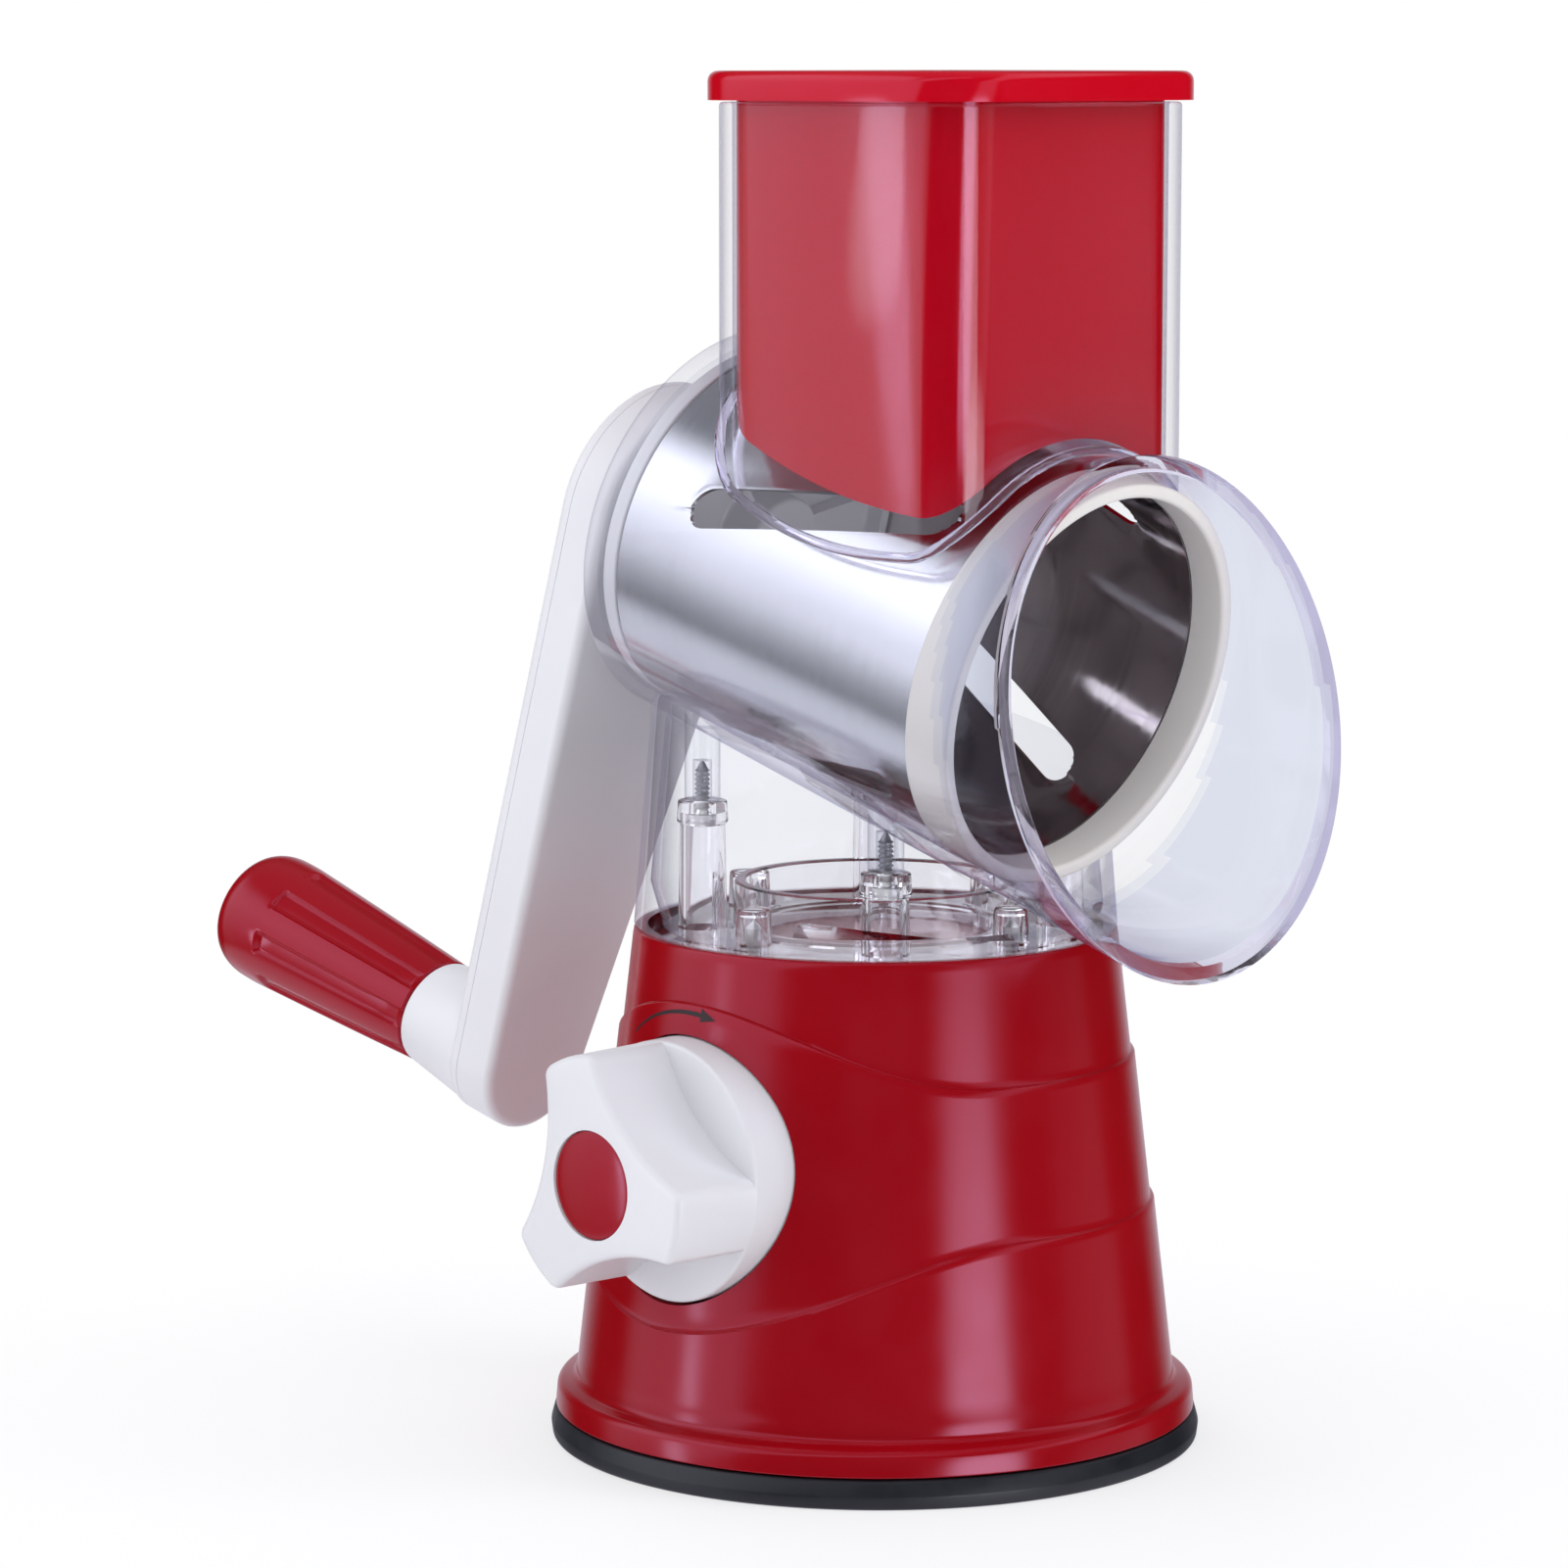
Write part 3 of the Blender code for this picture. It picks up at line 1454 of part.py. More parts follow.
for thing in parts.objects:
    if thing.type == "MESH":
        smooth(thing.data)
bpy.context.view_layer.update()
print("pieces:", sum(thing.type == "MESH" for thing in parts.objects))
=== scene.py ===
import json
from math import acos, asin, atan2, cos, exp, pi, radians, sin, sqrt, tan

import bmesh
import bpy
from mathutils import Matrix, Vector
from mathutils.bvhtree import BVHTree


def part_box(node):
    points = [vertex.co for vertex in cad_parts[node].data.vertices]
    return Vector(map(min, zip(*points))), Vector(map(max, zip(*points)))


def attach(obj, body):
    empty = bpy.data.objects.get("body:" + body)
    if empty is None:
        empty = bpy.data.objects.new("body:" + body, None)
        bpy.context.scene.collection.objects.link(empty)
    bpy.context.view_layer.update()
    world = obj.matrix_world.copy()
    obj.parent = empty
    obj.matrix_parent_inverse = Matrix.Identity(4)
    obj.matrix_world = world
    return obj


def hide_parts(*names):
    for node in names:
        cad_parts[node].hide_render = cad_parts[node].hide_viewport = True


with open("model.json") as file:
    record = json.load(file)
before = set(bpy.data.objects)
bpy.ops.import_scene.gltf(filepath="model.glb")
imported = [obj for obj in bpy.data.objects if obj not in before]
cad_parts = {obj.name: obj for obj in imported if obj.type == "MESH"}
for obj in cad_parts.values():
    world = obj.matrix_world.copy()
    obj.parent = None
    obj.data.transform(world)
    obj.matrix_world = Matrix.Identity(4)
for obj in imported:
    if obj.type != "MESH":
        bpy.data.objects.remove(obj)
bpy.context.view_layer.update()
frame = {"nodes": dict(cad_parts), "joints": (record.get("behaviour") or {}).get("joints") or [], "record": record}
mm = 0.001
joints = {joint["name"]: joint for joint in frame["joints"]}

# The barrel's own axes: X across, Y up, Z towards the mouth, from where its axis passes the hopper's middle
barrel = {
    "backFromMiddle": 60 * mm,  # the crank's joint lies this far behind the middle
    "backReach": -59.6 * mm,
    "frontReach": 28 * mm,
    "backRadius": 39.0 * mm,
    "frontRadius": 41.5 * mm,
    "mouthReach": 56.5 * mm,
    "mouthRadius": 48.2 * mm,
    "mouthLift": 1.05 * mm,
    "mouthTurn": radians(25.8),
    "wall": 2.4 * mm,
}
mouthWay = Vector(joints["crank_turn"]["axis"]).normalized()
barrelMiddle = Vector(joints["crank_turn"]["pos_m"]) + mouthWay * barrel["backFromMiddle"]
acrossWay = Vector((1, 0, 0))
upWay = mouthWay.cross(acrossWay)
barrelFrame = Matrix.Translation(barrelMiddle) @ Matrix((acrossWay, upWay, mouthWay)).transposed().to_4x4()
handleFrame = barrelFrame.copy()
handleFrame.translation = Vector(joints["handle_spin"]["pos_m"])
handleFrame.translation -= mouthWay * (handleFrame.translation - barrelMiddle).dot(mouthWay)
knobIn = Vector(joints["knob_turn"]["axis"]).normalized()
knobHeight = joints["knob_turn"]["pos_m"][2]
knobBearing = atan2(-knobIn.y, -knobIn.x)
knobAcross = Vector((0, 0, 1)).cross(-knobIn)  # seen from outside, this points to the right
knobFrame = Matrix.Translation((0, 0, knobHeight)) @ Matrix(
    (knobAcross, Vector((0, 0, 1)), -knobIn)
).transposed().to_4x4()
print("frames set")


# Camera, room and lights

view = {
    "from": (-0.7641, -0.6878, 0.2624),
    "along": (0.7247, 0.6748, -0.1393),
    "lens": 124.93,
    "shiftX": -0.0006,
    "shiftY": 0.0258,
}
cameraData = bpy.data.cameras.new("camera")
cameraData.sensor_width = 36
cameraData.lens = view["lens"]
cameraData.shift_x = view["shiftX"]
cameraData.shift_y = view["shiftY"]
cameraData.clip_start = 0.01
camera = bpy.data.objects.new("camera", cameraData)
camera.location = view["from"]
camera.rotation_euler = Vector(view["along"]).to_track_quat("-Z", "Y").to_euler()
bpy.context.scene.collection.objects.link(camera)
bpy.context.scene.camera = camera
bpy.context.scene.view_settings.view_transform = "Standard"

lamps = {
    # name: place, aim height, width, height, power, colour
    "keySoftbox": ((0.75, -1.15, 0.75), 0.14, 0.55, 1.1, 7.6, (0.95, 0.965, 1.0)),
    "leftSoftbox": ((-1.05, 0.85, 0.35), 0.10, 0.7, 1.0, 5.2, (0.94, 0.96, 1.0)),
    "overheadSoftbox": ((-0.15, -0.1, 1.5), 0.10, 1.1, 1.1, 4.0, (0.95, 0.965, 1.0)),
    "lowSoftbox": ((-1.2, -1.15, 0.18), 0.12, 0.8, 0.5, 2.6, (0.94, 0.96, 1.0)),
    "backSoftbox": ((0.5, 1.25, 0.6), 0.15, 0.8, 0.8, 4.0, (0.94, 0.96, 1.0)),
}
for name, (place, aimHeight, width, height, power, colour) in lamps.items():
    lampData = bpy.data.lights.new(name, "AREA")
    lampData.shape = "RECTANGLE"
    lampData.size = width
    lampData.size_y = height
    lampData.energy = power
    lampData.color = colour
    lamp = bpy.data.objects.new(name, lampData)
    lamp.visible_glossy = False  # the reflections come from the soft panels painted in the room
    lamp.location = place
    lamp.rotation_euler = (Vector((0, 0, aimHeight)) - Vector(place)).to_track_quat("-Z", "Y").to_euler()
    bpy.context.scene.collection.objects.link(lamp)


def clearedTree(owner):
    owner.use_nodes = True
    owner.node_tree.nodes.clear()
    return owner.node_tree


def nodeIn(tree, kind, inputs=None, **settings):
    # A shader node with its settings, and with its inputs linked or set
    node = tree.nodes.new("ShaderNode" + kind)
    for name, value in settings.items():
        setattr(node, name, value)
    for name, value in (inputs or {}).items():
        socket = node.inputs[name]
        if isinstance(value, bpy.types.NodeSocket):
            tree.links.new(value, socket)
        elif socket.type == "RGBA":
            socket.default_value = (*value, 1)
        else:
            socket.default_value = value
    return node


def maths(tree, operation, first, second):
    return nodeIn(tree, "Math", {0: first, 1: second}, operation=operation).outputs[0]


def ranged(tree, value, fromLow, fromHigh, low=0.0, high=1.0, kind="SMOOTHSTEP"):
    inputs = {"Value": value, "From Min": fromLow, "From Max": fromHigh, "To Min": low, "To Max": high}
    return nodeIn(tree, "MapRange", inputs, interpolation_type=kind).outputs["Result"]


def mixedShaders(tree, share, first, second):
    return nodeIn(tree, "MixShader", {0: share, 1: first, 2: second}).outputs[0]


def turnedParts(tree, directions, bearing):
    # How far a direction lies to the side of a bearing, its height, and whether it points that way at all
    inputs = {"Vector": directions, "Angle": -bearing}
    turned = nodeIn(tree, "VectorRotate", inputs, rotation_type="Z_AXIS").outputs[0]
    parts = nodeIn(tree, "SeparateXYZ", {0: turned}).outputs
    return parts["Y"], parts["Z"], maths(tree, "GREATER_THAN", parts["X"], 0.0)


def seenDirectly(tree):
    # 1 for what the camera looks at, also through or inside clear plastic
    path = nodeIn(tree, "LightPath").outputs
    through = maths(tree, "GREATER_THAN", path["Transmission Depth"], 0.5)
    return maths(tree, "MAXIMUM", path["Is Camera Ray"], through), path["Is Glossy Ray"]


room = {
    "fill": 0.84,
    "fillColour": (0.94, 0.96, 1.0),
    "paintedColour": (0.88, 0.885, 1.0),
    "dark": 0.01,
    "behind": (0.72, 1.12),  # how squarely a direction must point behind the object to be bright
    "ground": 0.80,
    "groundFrom": -0.36,
    "groundTo": -0.50,
    "overhead": 0.25,
    "overheadFrom": 0.45,
    "overheadTo": 0.85,
    "panelEdge": (1.6, 0.05),
    "panelLevel": 0.09,  # a leaning panel keeps its bearing at this height, and lies at smaller ones below
    "floorColour": (0.86, 0.86, 0.87),
    "floorNear": 0.62,
    "floorFade": (0.07, 0.30),
    "floorSize": 8.0,
    "floorDrop": -0.02 * mm,
}
slope = {
    "bearing": radians(140),
    "halfWidth": 0.50,
    "low": -0.53,
    "high": 0.40,
    "edge": (1.4, 0.1),
    "fadeFrom": 0.60,
    "fadeTo": 0.88,
    "strength": 1.62,
}
panels = [
    # bearing, middle height, half width, half height, brightness as polished surfaces see it, lean
    (radians(166), 0.25, 0.26, 0.50, 1.15, 1.1),
    (radians(272), 0.25, 0.24, 0.50, 0.85, 1.1),
    (radians(147), -0.18, 0.07, 0.20, 4.5, 0),
    (radians(262), -0.18, 0.24, 0.20, 6.5, 0),
    (radians(317), -0.30, 0.35, 0.28, 0.38, 0),
]


def makeRoom():
    # Polished surfaces see a dark studio with soft panels, a white end behind the object and a dim ground
    world = bpy.data.worlds.new("room")
    bpy.context.scene.world = world
    world.cycles.sampling_method = "NONE"  # polished surfaces then see the painted room alone
    tree = clearedTree(world)
    directions = nodeIn(tree, "TexCoord").outputs["Generated"]
    ahead = nodeIn(tree, "VectorMath", {0: directions, 1: view["along"]}, operation="DOT_PRODUCT")
    behind = ranged(tree, ahead.outputs["Value"], *room["behind"])
    rise = nodeIn(tree, "SeparateXYZ", {0: directions}).outputs["Z"]
    below = ranged(tree, rise, room["groundFrom"], room["groundTo"], high=room["ground"])
    above = ranged(tree, rise, room["overheadFrom"], room["overheadTo"], high=room["overhead"])
    brightness = maths(tree, "ADD", behind, maths(tree, "ADD", below, room["dark"]))
    brightness = maths(tree, "ADD", brightness, above)
    for bearing, middle, halfWidth, halfHeight, strength, leaning in panels:
        side, height, facing = turnedParts(tree, directions, bearing)
        lean = maths(tree, "MULTIPLY", maths(tree, "SUBTRACT", height, room["panelLevel"]), leaning)
        side = maths(tree, "DIVIDE", maths(tree, "SUBTRACT", side, lean), halfWidth)
        up = maths(tree, "DIVIDE", maths(tree, "SUBTRACT", height, middle), halfHeight)
        square = maths(tree, "ADD", maths(tree, "POWER", side, 4), maths(tree, "POWER", up, 4))
        panel = ranged(tree, square, *room["panelEdge"], high=strength)
        brightness = maths(tree, "ADD", brightness, maths(tree, "MULTIPLY", panel, facing))
    # A tall sweep to the left that grows brighter upwards
    side, height, facing = turnedParts(tree, directions, slope["bearing"])
    side = maths(tree, "POWER", maths(tree, "DIVIDE", side, slope["halfWidth"]), 4)
    across = maths(tree, "MULTIPLY", ranged(tree, side, *slope["edge"]), facing)
    growing = ranged(tree, height, slope["low"], slope["high"], kind="LINEAR")
    fading = ranged(tree, height, slope["fadeTo"], slope["fadeFrom"], high=slope["strength"])
    sweep = maths(tree, "MULTIPLY", across, maths(tree, "MULTIPLY", growing, fading))
    brightness = maths(tree, "MAXIMUM", brightness, maths(tree, "ADD", sweep, room["dark"]))
    white = nodeIn(tree, "Background", {"Color": (1, 1, 1)}).outputs[0]
    painted = nodeIn(tree, "Background", {"Color": room["paintedColour"], "Strength": brightness}).outputs[0]
    fill = nodeIn(tree, "Background", {"Color": room["fillColour"], "Strength": room["fill"]}).outputs[0]
    direct, mirrored = seenDirectly(tree)
    rest = mixedShaders(tree, mirrored, fill, painted)
    nodeIn(tree, "OutputWorld", {"Surface": mixedShaders(tree, direct, rest, white)})


def makeFloor():
    # The floor turns to the white of the room away from the foot, and keeps the soft shadow near it
    material = bpy.data.materials.new("pale_floor")
    tree = clearedTree(material)
    matt = nodeIn(tree, "BsdfDiffuse", {"Color": room["floorColour"]}).outputs[0]
    light = nodeIn(tree, "Emission", {"Color": (1, 1, 1), "Strength": 1.0}).outputs[0]
    place = nodeIn(tree, "TexCoord").outputs["Object"]
    distance = nodeIn(tree, "VectorMath", {0: place}, operation="LENGTH").outputs["Value"]
    fade = ranged(tree, distance, *room["floorFade"], room["floorNear"], 1.0)
    seen = mixedShaders(tree, fade, matt, light)
    nodeIn(tree, "OutputMaterial", {"Surface": mixedShaders(tree, seenDirectly(tree)[0], matt, seen)})
    shape = bmesh.new()
    bmesh.ops.create_grid(shape, x_segments=2, y_segments=2, size=room["floorSize"] / 2)
    mesh = bpy.data.meshes.new("floor")
    shape.to_mesh(mesh)
    shape.free()
    mesh.materials.append(material)
    floor = bpy.data.objects.new("floor", mesh)
    floor.location.z = room["floorDrop"]
    floor.visible_glossy = False  # polished surfaces see the painted room below the horizon too
    bpy.context.scene.collection.objects.link(floor)


makeRoom()
makeFloor()
print("camera, room and lights ready")


# Finishes


def objectPoints(tree, turn=(0, 0, 0)):
    place = nodeIn(tree, "TexCoord").outputs["Object"]
    return nodeIn(tree, "Mapping", {"Vector": place, "Rotation": turn}).outputs["Vector"]


def started(name):
    material = bpy.data.materials.new(name)
    tree = clearedTree(material)
    return material, tree, objectPoints(tree)


def noiseField(tree, points, scale, detail=3.0, roughness=0.5):
    inputs = {"Vector": points, "Scale": scale, "Detail": detail, "Roughness": roughness}
    return nodeIn(tree, "TexNoise", inputs).outputs["Fac"]


def varied(tree, field, low, high):
    return ranged(tree, field, 0.3, 0.7, low, high, "LINEAR")


def tinted(tree, field, first, last, *others):
    # A ramp through (place, colour) stops
    node = nodeIn(tree, "ValToRGB", {"Fac": field})
    stops = node.color_ramp.elements
    for stop, (place, colour) in zip(stops, (first, last)):
        stop.position = place
        stop.color = (*colour, 1)
    for place, colour in others:
        stops.new(place).color = (*colour, 1)
    return node.outputs["Color"]


def bumped(tree, field, strength, distance, under=None):
    inputs = {"Height": field, "Strength": strength, "Distance": distance}
    if under is not None:
        inputs["Normal"] = under
    return nodeIn(tree, "Bump", inputs).outputs["Normal"]


def principled(tree, inputs):
    shader = nodeIn(tree, "BsdfPrincipled", inputs).outputs[0]
    nodeIn(tree, "OutputMaterial", {"Surface": shader})


def mouldedPlastic(name, dark, pale, smoothest, roughest, ripple=0.05, grain=0.04, glow=0.0, sheen=(1, 1, 1)):
    # A faint flow mottle in the colour, a ripple from the mould and a very fine grain
    material, tree, points = started(name)
    flow = noiseField(tree, points, 22, 4)
    normal = bumped(tree, flow, ripple, 0.4 * mm)
    inputs = {
        "Base Color": tinted(tree, flow, (0.3, dark), (0.7, pale)),
        "Roughness": varied(tree, noiseField(tree, points, 90, 5), smoothest, roughest),
        "Normal": bumped(tree, noiseField(tree, points, 1400, 2), grain, 0.02 * mm, normal),
        "IOR": 1.48,
        "Specular Tint": sheen,
    }
    if glow:
        inputs["Subsurface Weight"] = glow
        inputs["Subsurface Radius"] = (1.0, 0.9, 0.8)
        inputs["Subsurface Scale"] = 1.2 * mm
    principled(tree, inputs)
    return material


def softRubber():
    material, tree, points = started("black_foot_rubber")
    dust = noiseField(tree, points, 160, 6, 0.65)
    principled(tree, {
        "Base Color": tinted(tree, dust, (0.3, (0.007, 0.008, 0.011)), (0.7, (0.013, 0.014, 0.018))),
        "Roughness": varied(tree, dust, 0.34, 0.50),
        "Normal": bumped(tree, noiseField(tree, points, 900, 3), 0.12, 0.05 * mm),
    })
    return material


def clearPlastic(name, tint):
    # Thick clear shapes that bend what is behind them
    material, tree, points = started(name)
    principled(tree, {
        "Base Color": tint,
        "Transmission Weight": 1.0,
        "IOR": 1.45,
        "Roughness": varied(tree, noiseField(tree, points, 60, 4), 0.0, 0.03),
        "Normal": bumped(tree, noiseField(tree, points, 35, 2), 0.03, 0.4 * mm),
    })
    return material


def thinClearPlastic(name, square, slanted, grazing, leastGloss=0.022, ripple=0.04, bend=None):
    # Even walls that show what is behind them in its place, with a violet cast where the view grazes them
    material, tree, points = started(name)
    normal = bumped(tree, noiseField(tree, points, 35, 2), ripple, 0.4 * mm)
    facing = nodeIn(tree, "LayerWeight", {"Normal": normal}).outputs["Facing"]
    cast = tinted(tree, facing, (0.0, square), (1.0, grazing), (0.45, square), (0.85, slanted))
    clear = nodeIn(tree, "BsdfTransparent", {"Color": cast}).outputs[0]
    gloss = nodeIn(tree, "BsdfAnisotropic", {
        "Color": (1, 1, 1),
        "Roughness": varied(tree, noiseField(tree, points, 60, 4), 0.03, 0.08),
        "Normal": normal,
    }).outputs[0]
    share = ranged(tree, maths(tree, "POWER", facing, 4.0), 0.0, 1.0, leastGloss, 0.80, "LINEAR")
    surface = mixedShaders(tree, share, clear, gloss)
    if bend:
        # Towards the left it turns into a clear that bends what is behind it
        tint, bendAll, bendNone = bend
        bending = nodeIn(tree, "BsdfPrincipled", {
            "Base Color": tint, "Transmission Weight": 1.0, "IOR": 1.45, "Roughness": 0.01,
        }).outputs[0]
        side = nodeIn(tree, "SeparateXYZ", {0: points}).outputs["X"]
        surface = mixedShaders(tree, ranged(tree, side, bendAll, bendNone), bending, surface)
    nodeIn(tree, "OutputMaterial", {"Surface": surface})
    return material


def polishedSteel(name, colour, smoothest, roughest, lines, turn=(0, 0, 0), bump=0.05):
    # Polishing lines run round the turned axis
    material, tree, points = started(name)
    along = nodeIn(tree, "SeparateXYZ", {0: objectPoints(tree, turn)}).outputs["Z"]
    inputs = {"W": along, "Scale": lines, "Detail": 6}
    streak = nodeIn(tree, "TexNoise", inputs, noise_dimensions="1D").outputs["Fac"]
    dark = tuple(0.93 * part for part in colour)
    principled(tree, {
        "Metallic": 1.0,
        "Base Color": tinted(tree, noiseField(tree, points, 30, 4), (0.3, dark), (0.7, colour)),
        "Roughness": varied(tree, streak, smoothest, roughest),
        "Normal": bumped(tree, streak, bump, 0.01 * mm),
    })
    return material


redPlastic = mouldedPlastic(
    "red_gloss_plastic", (0.285, 0.0006, 0.0035), (0.305, 0.0008, 0.0045), 0.15, 0.21, 0.04, 0.012,
    sheen=(1, 0.70, 1),
)
redCup = mouldedPlastic(
    "red_pusher_plastic", (0.50, 0.001, 0.009), (0.53, 0.0015, 0.011), 0.09, 0.13, 0.03, 0.003,
    sheen=(1, 0.70, 1),
)
whitePlastic = mouldedPlastic(
    "white_satin_plastic", (0.70, 0.69, 0.715), (0.74, 0.73, 0.75), 0.30, 0.42, glow=0.12
)
ivoryPlastic = mouldedPlastic(
    "ivory_satin_plastic", (0.72, 0.68, 0.64), (0.78, 0.75, 0.71), 0.34, 0.46, glow=0.15
)
darkPlastic = mouldedPlastic("dark_matt_plastic", (0.035, 0.035, 0.037), (0.05, 0.05, 0.052), 0.45, 0.6)
markInk = mouldedPlastic("dark_printed_ink", (0.018, 0.006, 0.007), (0.025, 0.009, 0.010), 0.45, 0.55)
clearStyrene = clearPlastic("clear_styrene", (0.96, 0.955, 0.98))
clearRim = thinClearPlastic(
    "clear_styrene_rim", (0.78, 0.765, 0.90), (0.58, 0.54, 0.78), (0.40, 0.35, 0.60), 0.10,
    bend=((0.76, 0.735, 0.90), 12 * mm, 30 * mm),
)
clearWall = thinClearPlastic(
    "clear_styrene_wall", (0.962, 0.965, 0.977), (0.88, 0.87, 0.925), (0.56, 0.52, 0.72)
)
clearBell = thinClearPlastic(
    "clear_styrene_bell", (0.865, 0.88, 0.937), (0.80, 0.79, 0.89), (0.42, 0.38, 0.60), ripple=0.015
)
drumTurn = (atan2(mouthWay.z, -mouthWay.y) - pi / 2, 0, 0)
drumSteel = polishedSteel("brushed_drum_steel", (0.88, 0.89, 0.90), 0.15, 0.20, 900, drumTurn, 0.008)
# The inside faces get a darker, reddish copy of the drum steel: painted shade inside the drum, with a painted red
# reflection
drumShadedInside = polishedSteel("drum_inside_painted_shade_steel", (0.62, 0.57, 0.57), 0.07, 0.14, 500, drumTurn, 0.03)
pinSteel = polishedSteel("turned_pin_steel", (0.70, 0.70, 0.71), 0.15, 0.28, 1500)
screwSteel = polishedSteel("zinc_screw_steel", (0.82, 0.82, 0.81), 0.35, 0.5, 2500, bump=0.1)
finishOf = {
    "red_plastic": redPlastic,
    "white_plastic": whitePlastic,
    "ivory_plastic": ivoryPlastic,
    "clear_plastic": clearStyrene,
    "black_rubber": softRubber(),
    "dark_plastic": darkPlastic,
    "steel": pinSteel,
    "zinc_steel": screwSteel,
}
for part in frame["record"]["subparts"]:
    node = frame["nodes"][part["node"]]
    node.data.materials.clear()
    node.data.materials.append(finishOf[part["material_slot"]])
print("finishes ready")


# Making of pieces


def easeStep(value, low, high):
    share = min(1.0, max(0.0, (value - low) / (high - low)))
    return share * share * (3 - 2 * share)


def polar(radius, angle, middle=(0, 0)):
    return (middle[0] + radius * cos(angle), middle[1] + radius * sin(angle))


def softCorners(points, steps=4, closed=False):
    # (x, y, corner radius) points to a line with arcs at its corners
    line = []
    for i, (x, y, radius) in enumerate(points):
        if radius == 0 or (not closed and i in (0, len(points) - 1)):
            line.append((x, y))
            continue
        here = Vector((x, y))
        toBefore = Vector(points[i - 1][:2]) - here
        toAfter = Vector(points[(i + 1) % len(points)][:2]) - here
        half = toBefore.angle(toAfter) / 2
        reach = min(radius / tan(half), 0.48 * toBefore.length, 0.48 * toAfter.length)
        arcRadius = reach * tan(half)
        middle = here + (toBefore.normalized() + toAfter.normalized()).normalized() * (arcRadius / sin(half))
        start = here + toBefore.normalized() * reach - middle
        end = here + toAfter.normalized() * reach - middle
        first = atan2(start.y, start.x)
        sweep = (atan2(end.y, end.x) - first + pi) % (2 * pi) - pi
        for step in range(steps + 1):
            line.append(polar(arcRadius, first + sweep * step / steps, middle))
    return line


def turnedShape(points, steps=160, closed=False):
    # A profile of (radius, height) points spun about Z
    shape = bmesh.new()
    corners = [shape.verts.new((radius, 0, height)) for radius, height in points]
    edges = [shape.edges.new(pair) for pair in zip(corners, corners[1:])]
    if closed:
        edges.append(shape.edges.new((corners[-1], corners[0])))
    bmesh.ops.spin(
        shape, geom=corners + edges, axis=(0, 0, 1), angle=2 * pi, steps=steps, use_merge=True
    )
    bmesh.ops.remove_doubles(shape, verts=shape.verts, dist=0.001 * mm)
    bmesh.ops.recalc_face_normals(shape, faces=shape.faces)
    return shape


def ringedShape(count, rings, closed=False):
    # A circle extruded from ring to ring; each ring is a function of the share of a turn
    shape = bmesh.new()
    mark = shape.verts.layers.int.new("share")
    bmesh.ops.create_circle(shape, cap_ends=False, segments=count, radius=1)
    for vertex in shape.verts:
        angle = atan2(vertex.co.y, vertex.co.x) % (2 * pi)
        vertex[mark] = round(angle / (2 * pi) * count) % count
    edges = list(shape.edges)
    firstEdges = edges
    for vertex in shape.verts:
        vertex.co = rings[0](vertex[mark] / count)
    for ring in rings[1:]:
        made = bmesh.ops.extrude_edge_only(shape, edges=edges)["geom"]
        corners = [item for item in made if isinstance(item, bmesh.types.BMVert)]
        known = set(corners)
        edges = [item for item in made if isinstance(item, bmesh.types.BMEdge) and set(item.verts) <= known]
        for vertex in corners:
            vertex.co = ring(vertex[mark] / count)
    if closed:
        bmesh.ops.bridge_loops(shape, edges=firstEdges + edges)
    else:
        for loop in (firstEdges, edges):
            bmesh.ops.contextual_create(shape, geom=loop)
    bmesh.ops.recalc_face_normals(shape, faces=shape.faces)
    return shape


def flatShape(points, low, high):
    # A flat outline raised into a plate between two heights
    shape = bmesh.new()
    corners = [shape.verts.new((x, y, low)) for x, y in points]
    face = shape.faces.new(corners)
    made = bmesh.ops.extrude_face_region(shape, geom=[face])["geom"]
    raised = [item for item in made if isinstance(item, bmesh.types.BMVert)]
    bmesh.ops.translate(shape, verts=raised, vec=(0, 0, high - low))
    bmesh.ops.recalc_face_normals(shape, faces=shape.faces)
    return shape


def block(xLow, xHigh, halfY, low, high):
    return flatShape([(xLow, -halfY), (xHigh, -halfY), (xHigh, halfY), (xLow, halfY)], low, high)


def moved(shape, matrix):
    bmesh.ops.transform(shape, matrix=matrix, verts=shape.verts)
    return shape


def combined(shape, tool, operation="DIFFERENCE"):
    # Two closed shapes into one
    things = []
    for source in (shape, tool):
        mesh = bpy.data.meshes.new("rough")
        source.to_mesh(mesh)
        source.free()
        things.append(bpy.data.objects.new("rough", mesh))
        bpy.context.scene.collection.objects.link(things[-1])
    modifier = things[0].modifiers.new("combine", "BOOLEAN")
    modifier.operation = operation
    modifier.object = things[1]
    modifier.solver = "EXACT"
    graph = bpy.context.evaluated_depsgraph_get()
    evaluated = things[0].evaluated_get(graph)
    result = bmesh.new()
    result.from_mesh(evaluated.to_mesh())
    evaluated.to_mesh_clear()
    for thing in things:
        mesh = thing.data
        bpy.data.objects.remove(thing)
        bpy.data.meshes.remove(mesh)
    return result


def softened(shape, width, segments, angle, chosen):
    # Rounds the chosen ones among the sharp edges
    edges = [edge for edge in shape.edges if len(edge.link_faces) == 2 and chosen(edge)]
    edges = [edge for edge in edges if edge.calc_face_angle(0) > radians(angle)]
    bmesh.ops.bevel(
        shape, geom=edges, offset=width, offset_type="OFFSET", affect="EDGES", segments=segments,
        profile=0.5, material=-1, clamp_overlap=True, loop_slide=True,
    )
    return shape


def allAbove(height):
    return lambda edge: all(vertex.co.z > height for vertex in edge.verts)


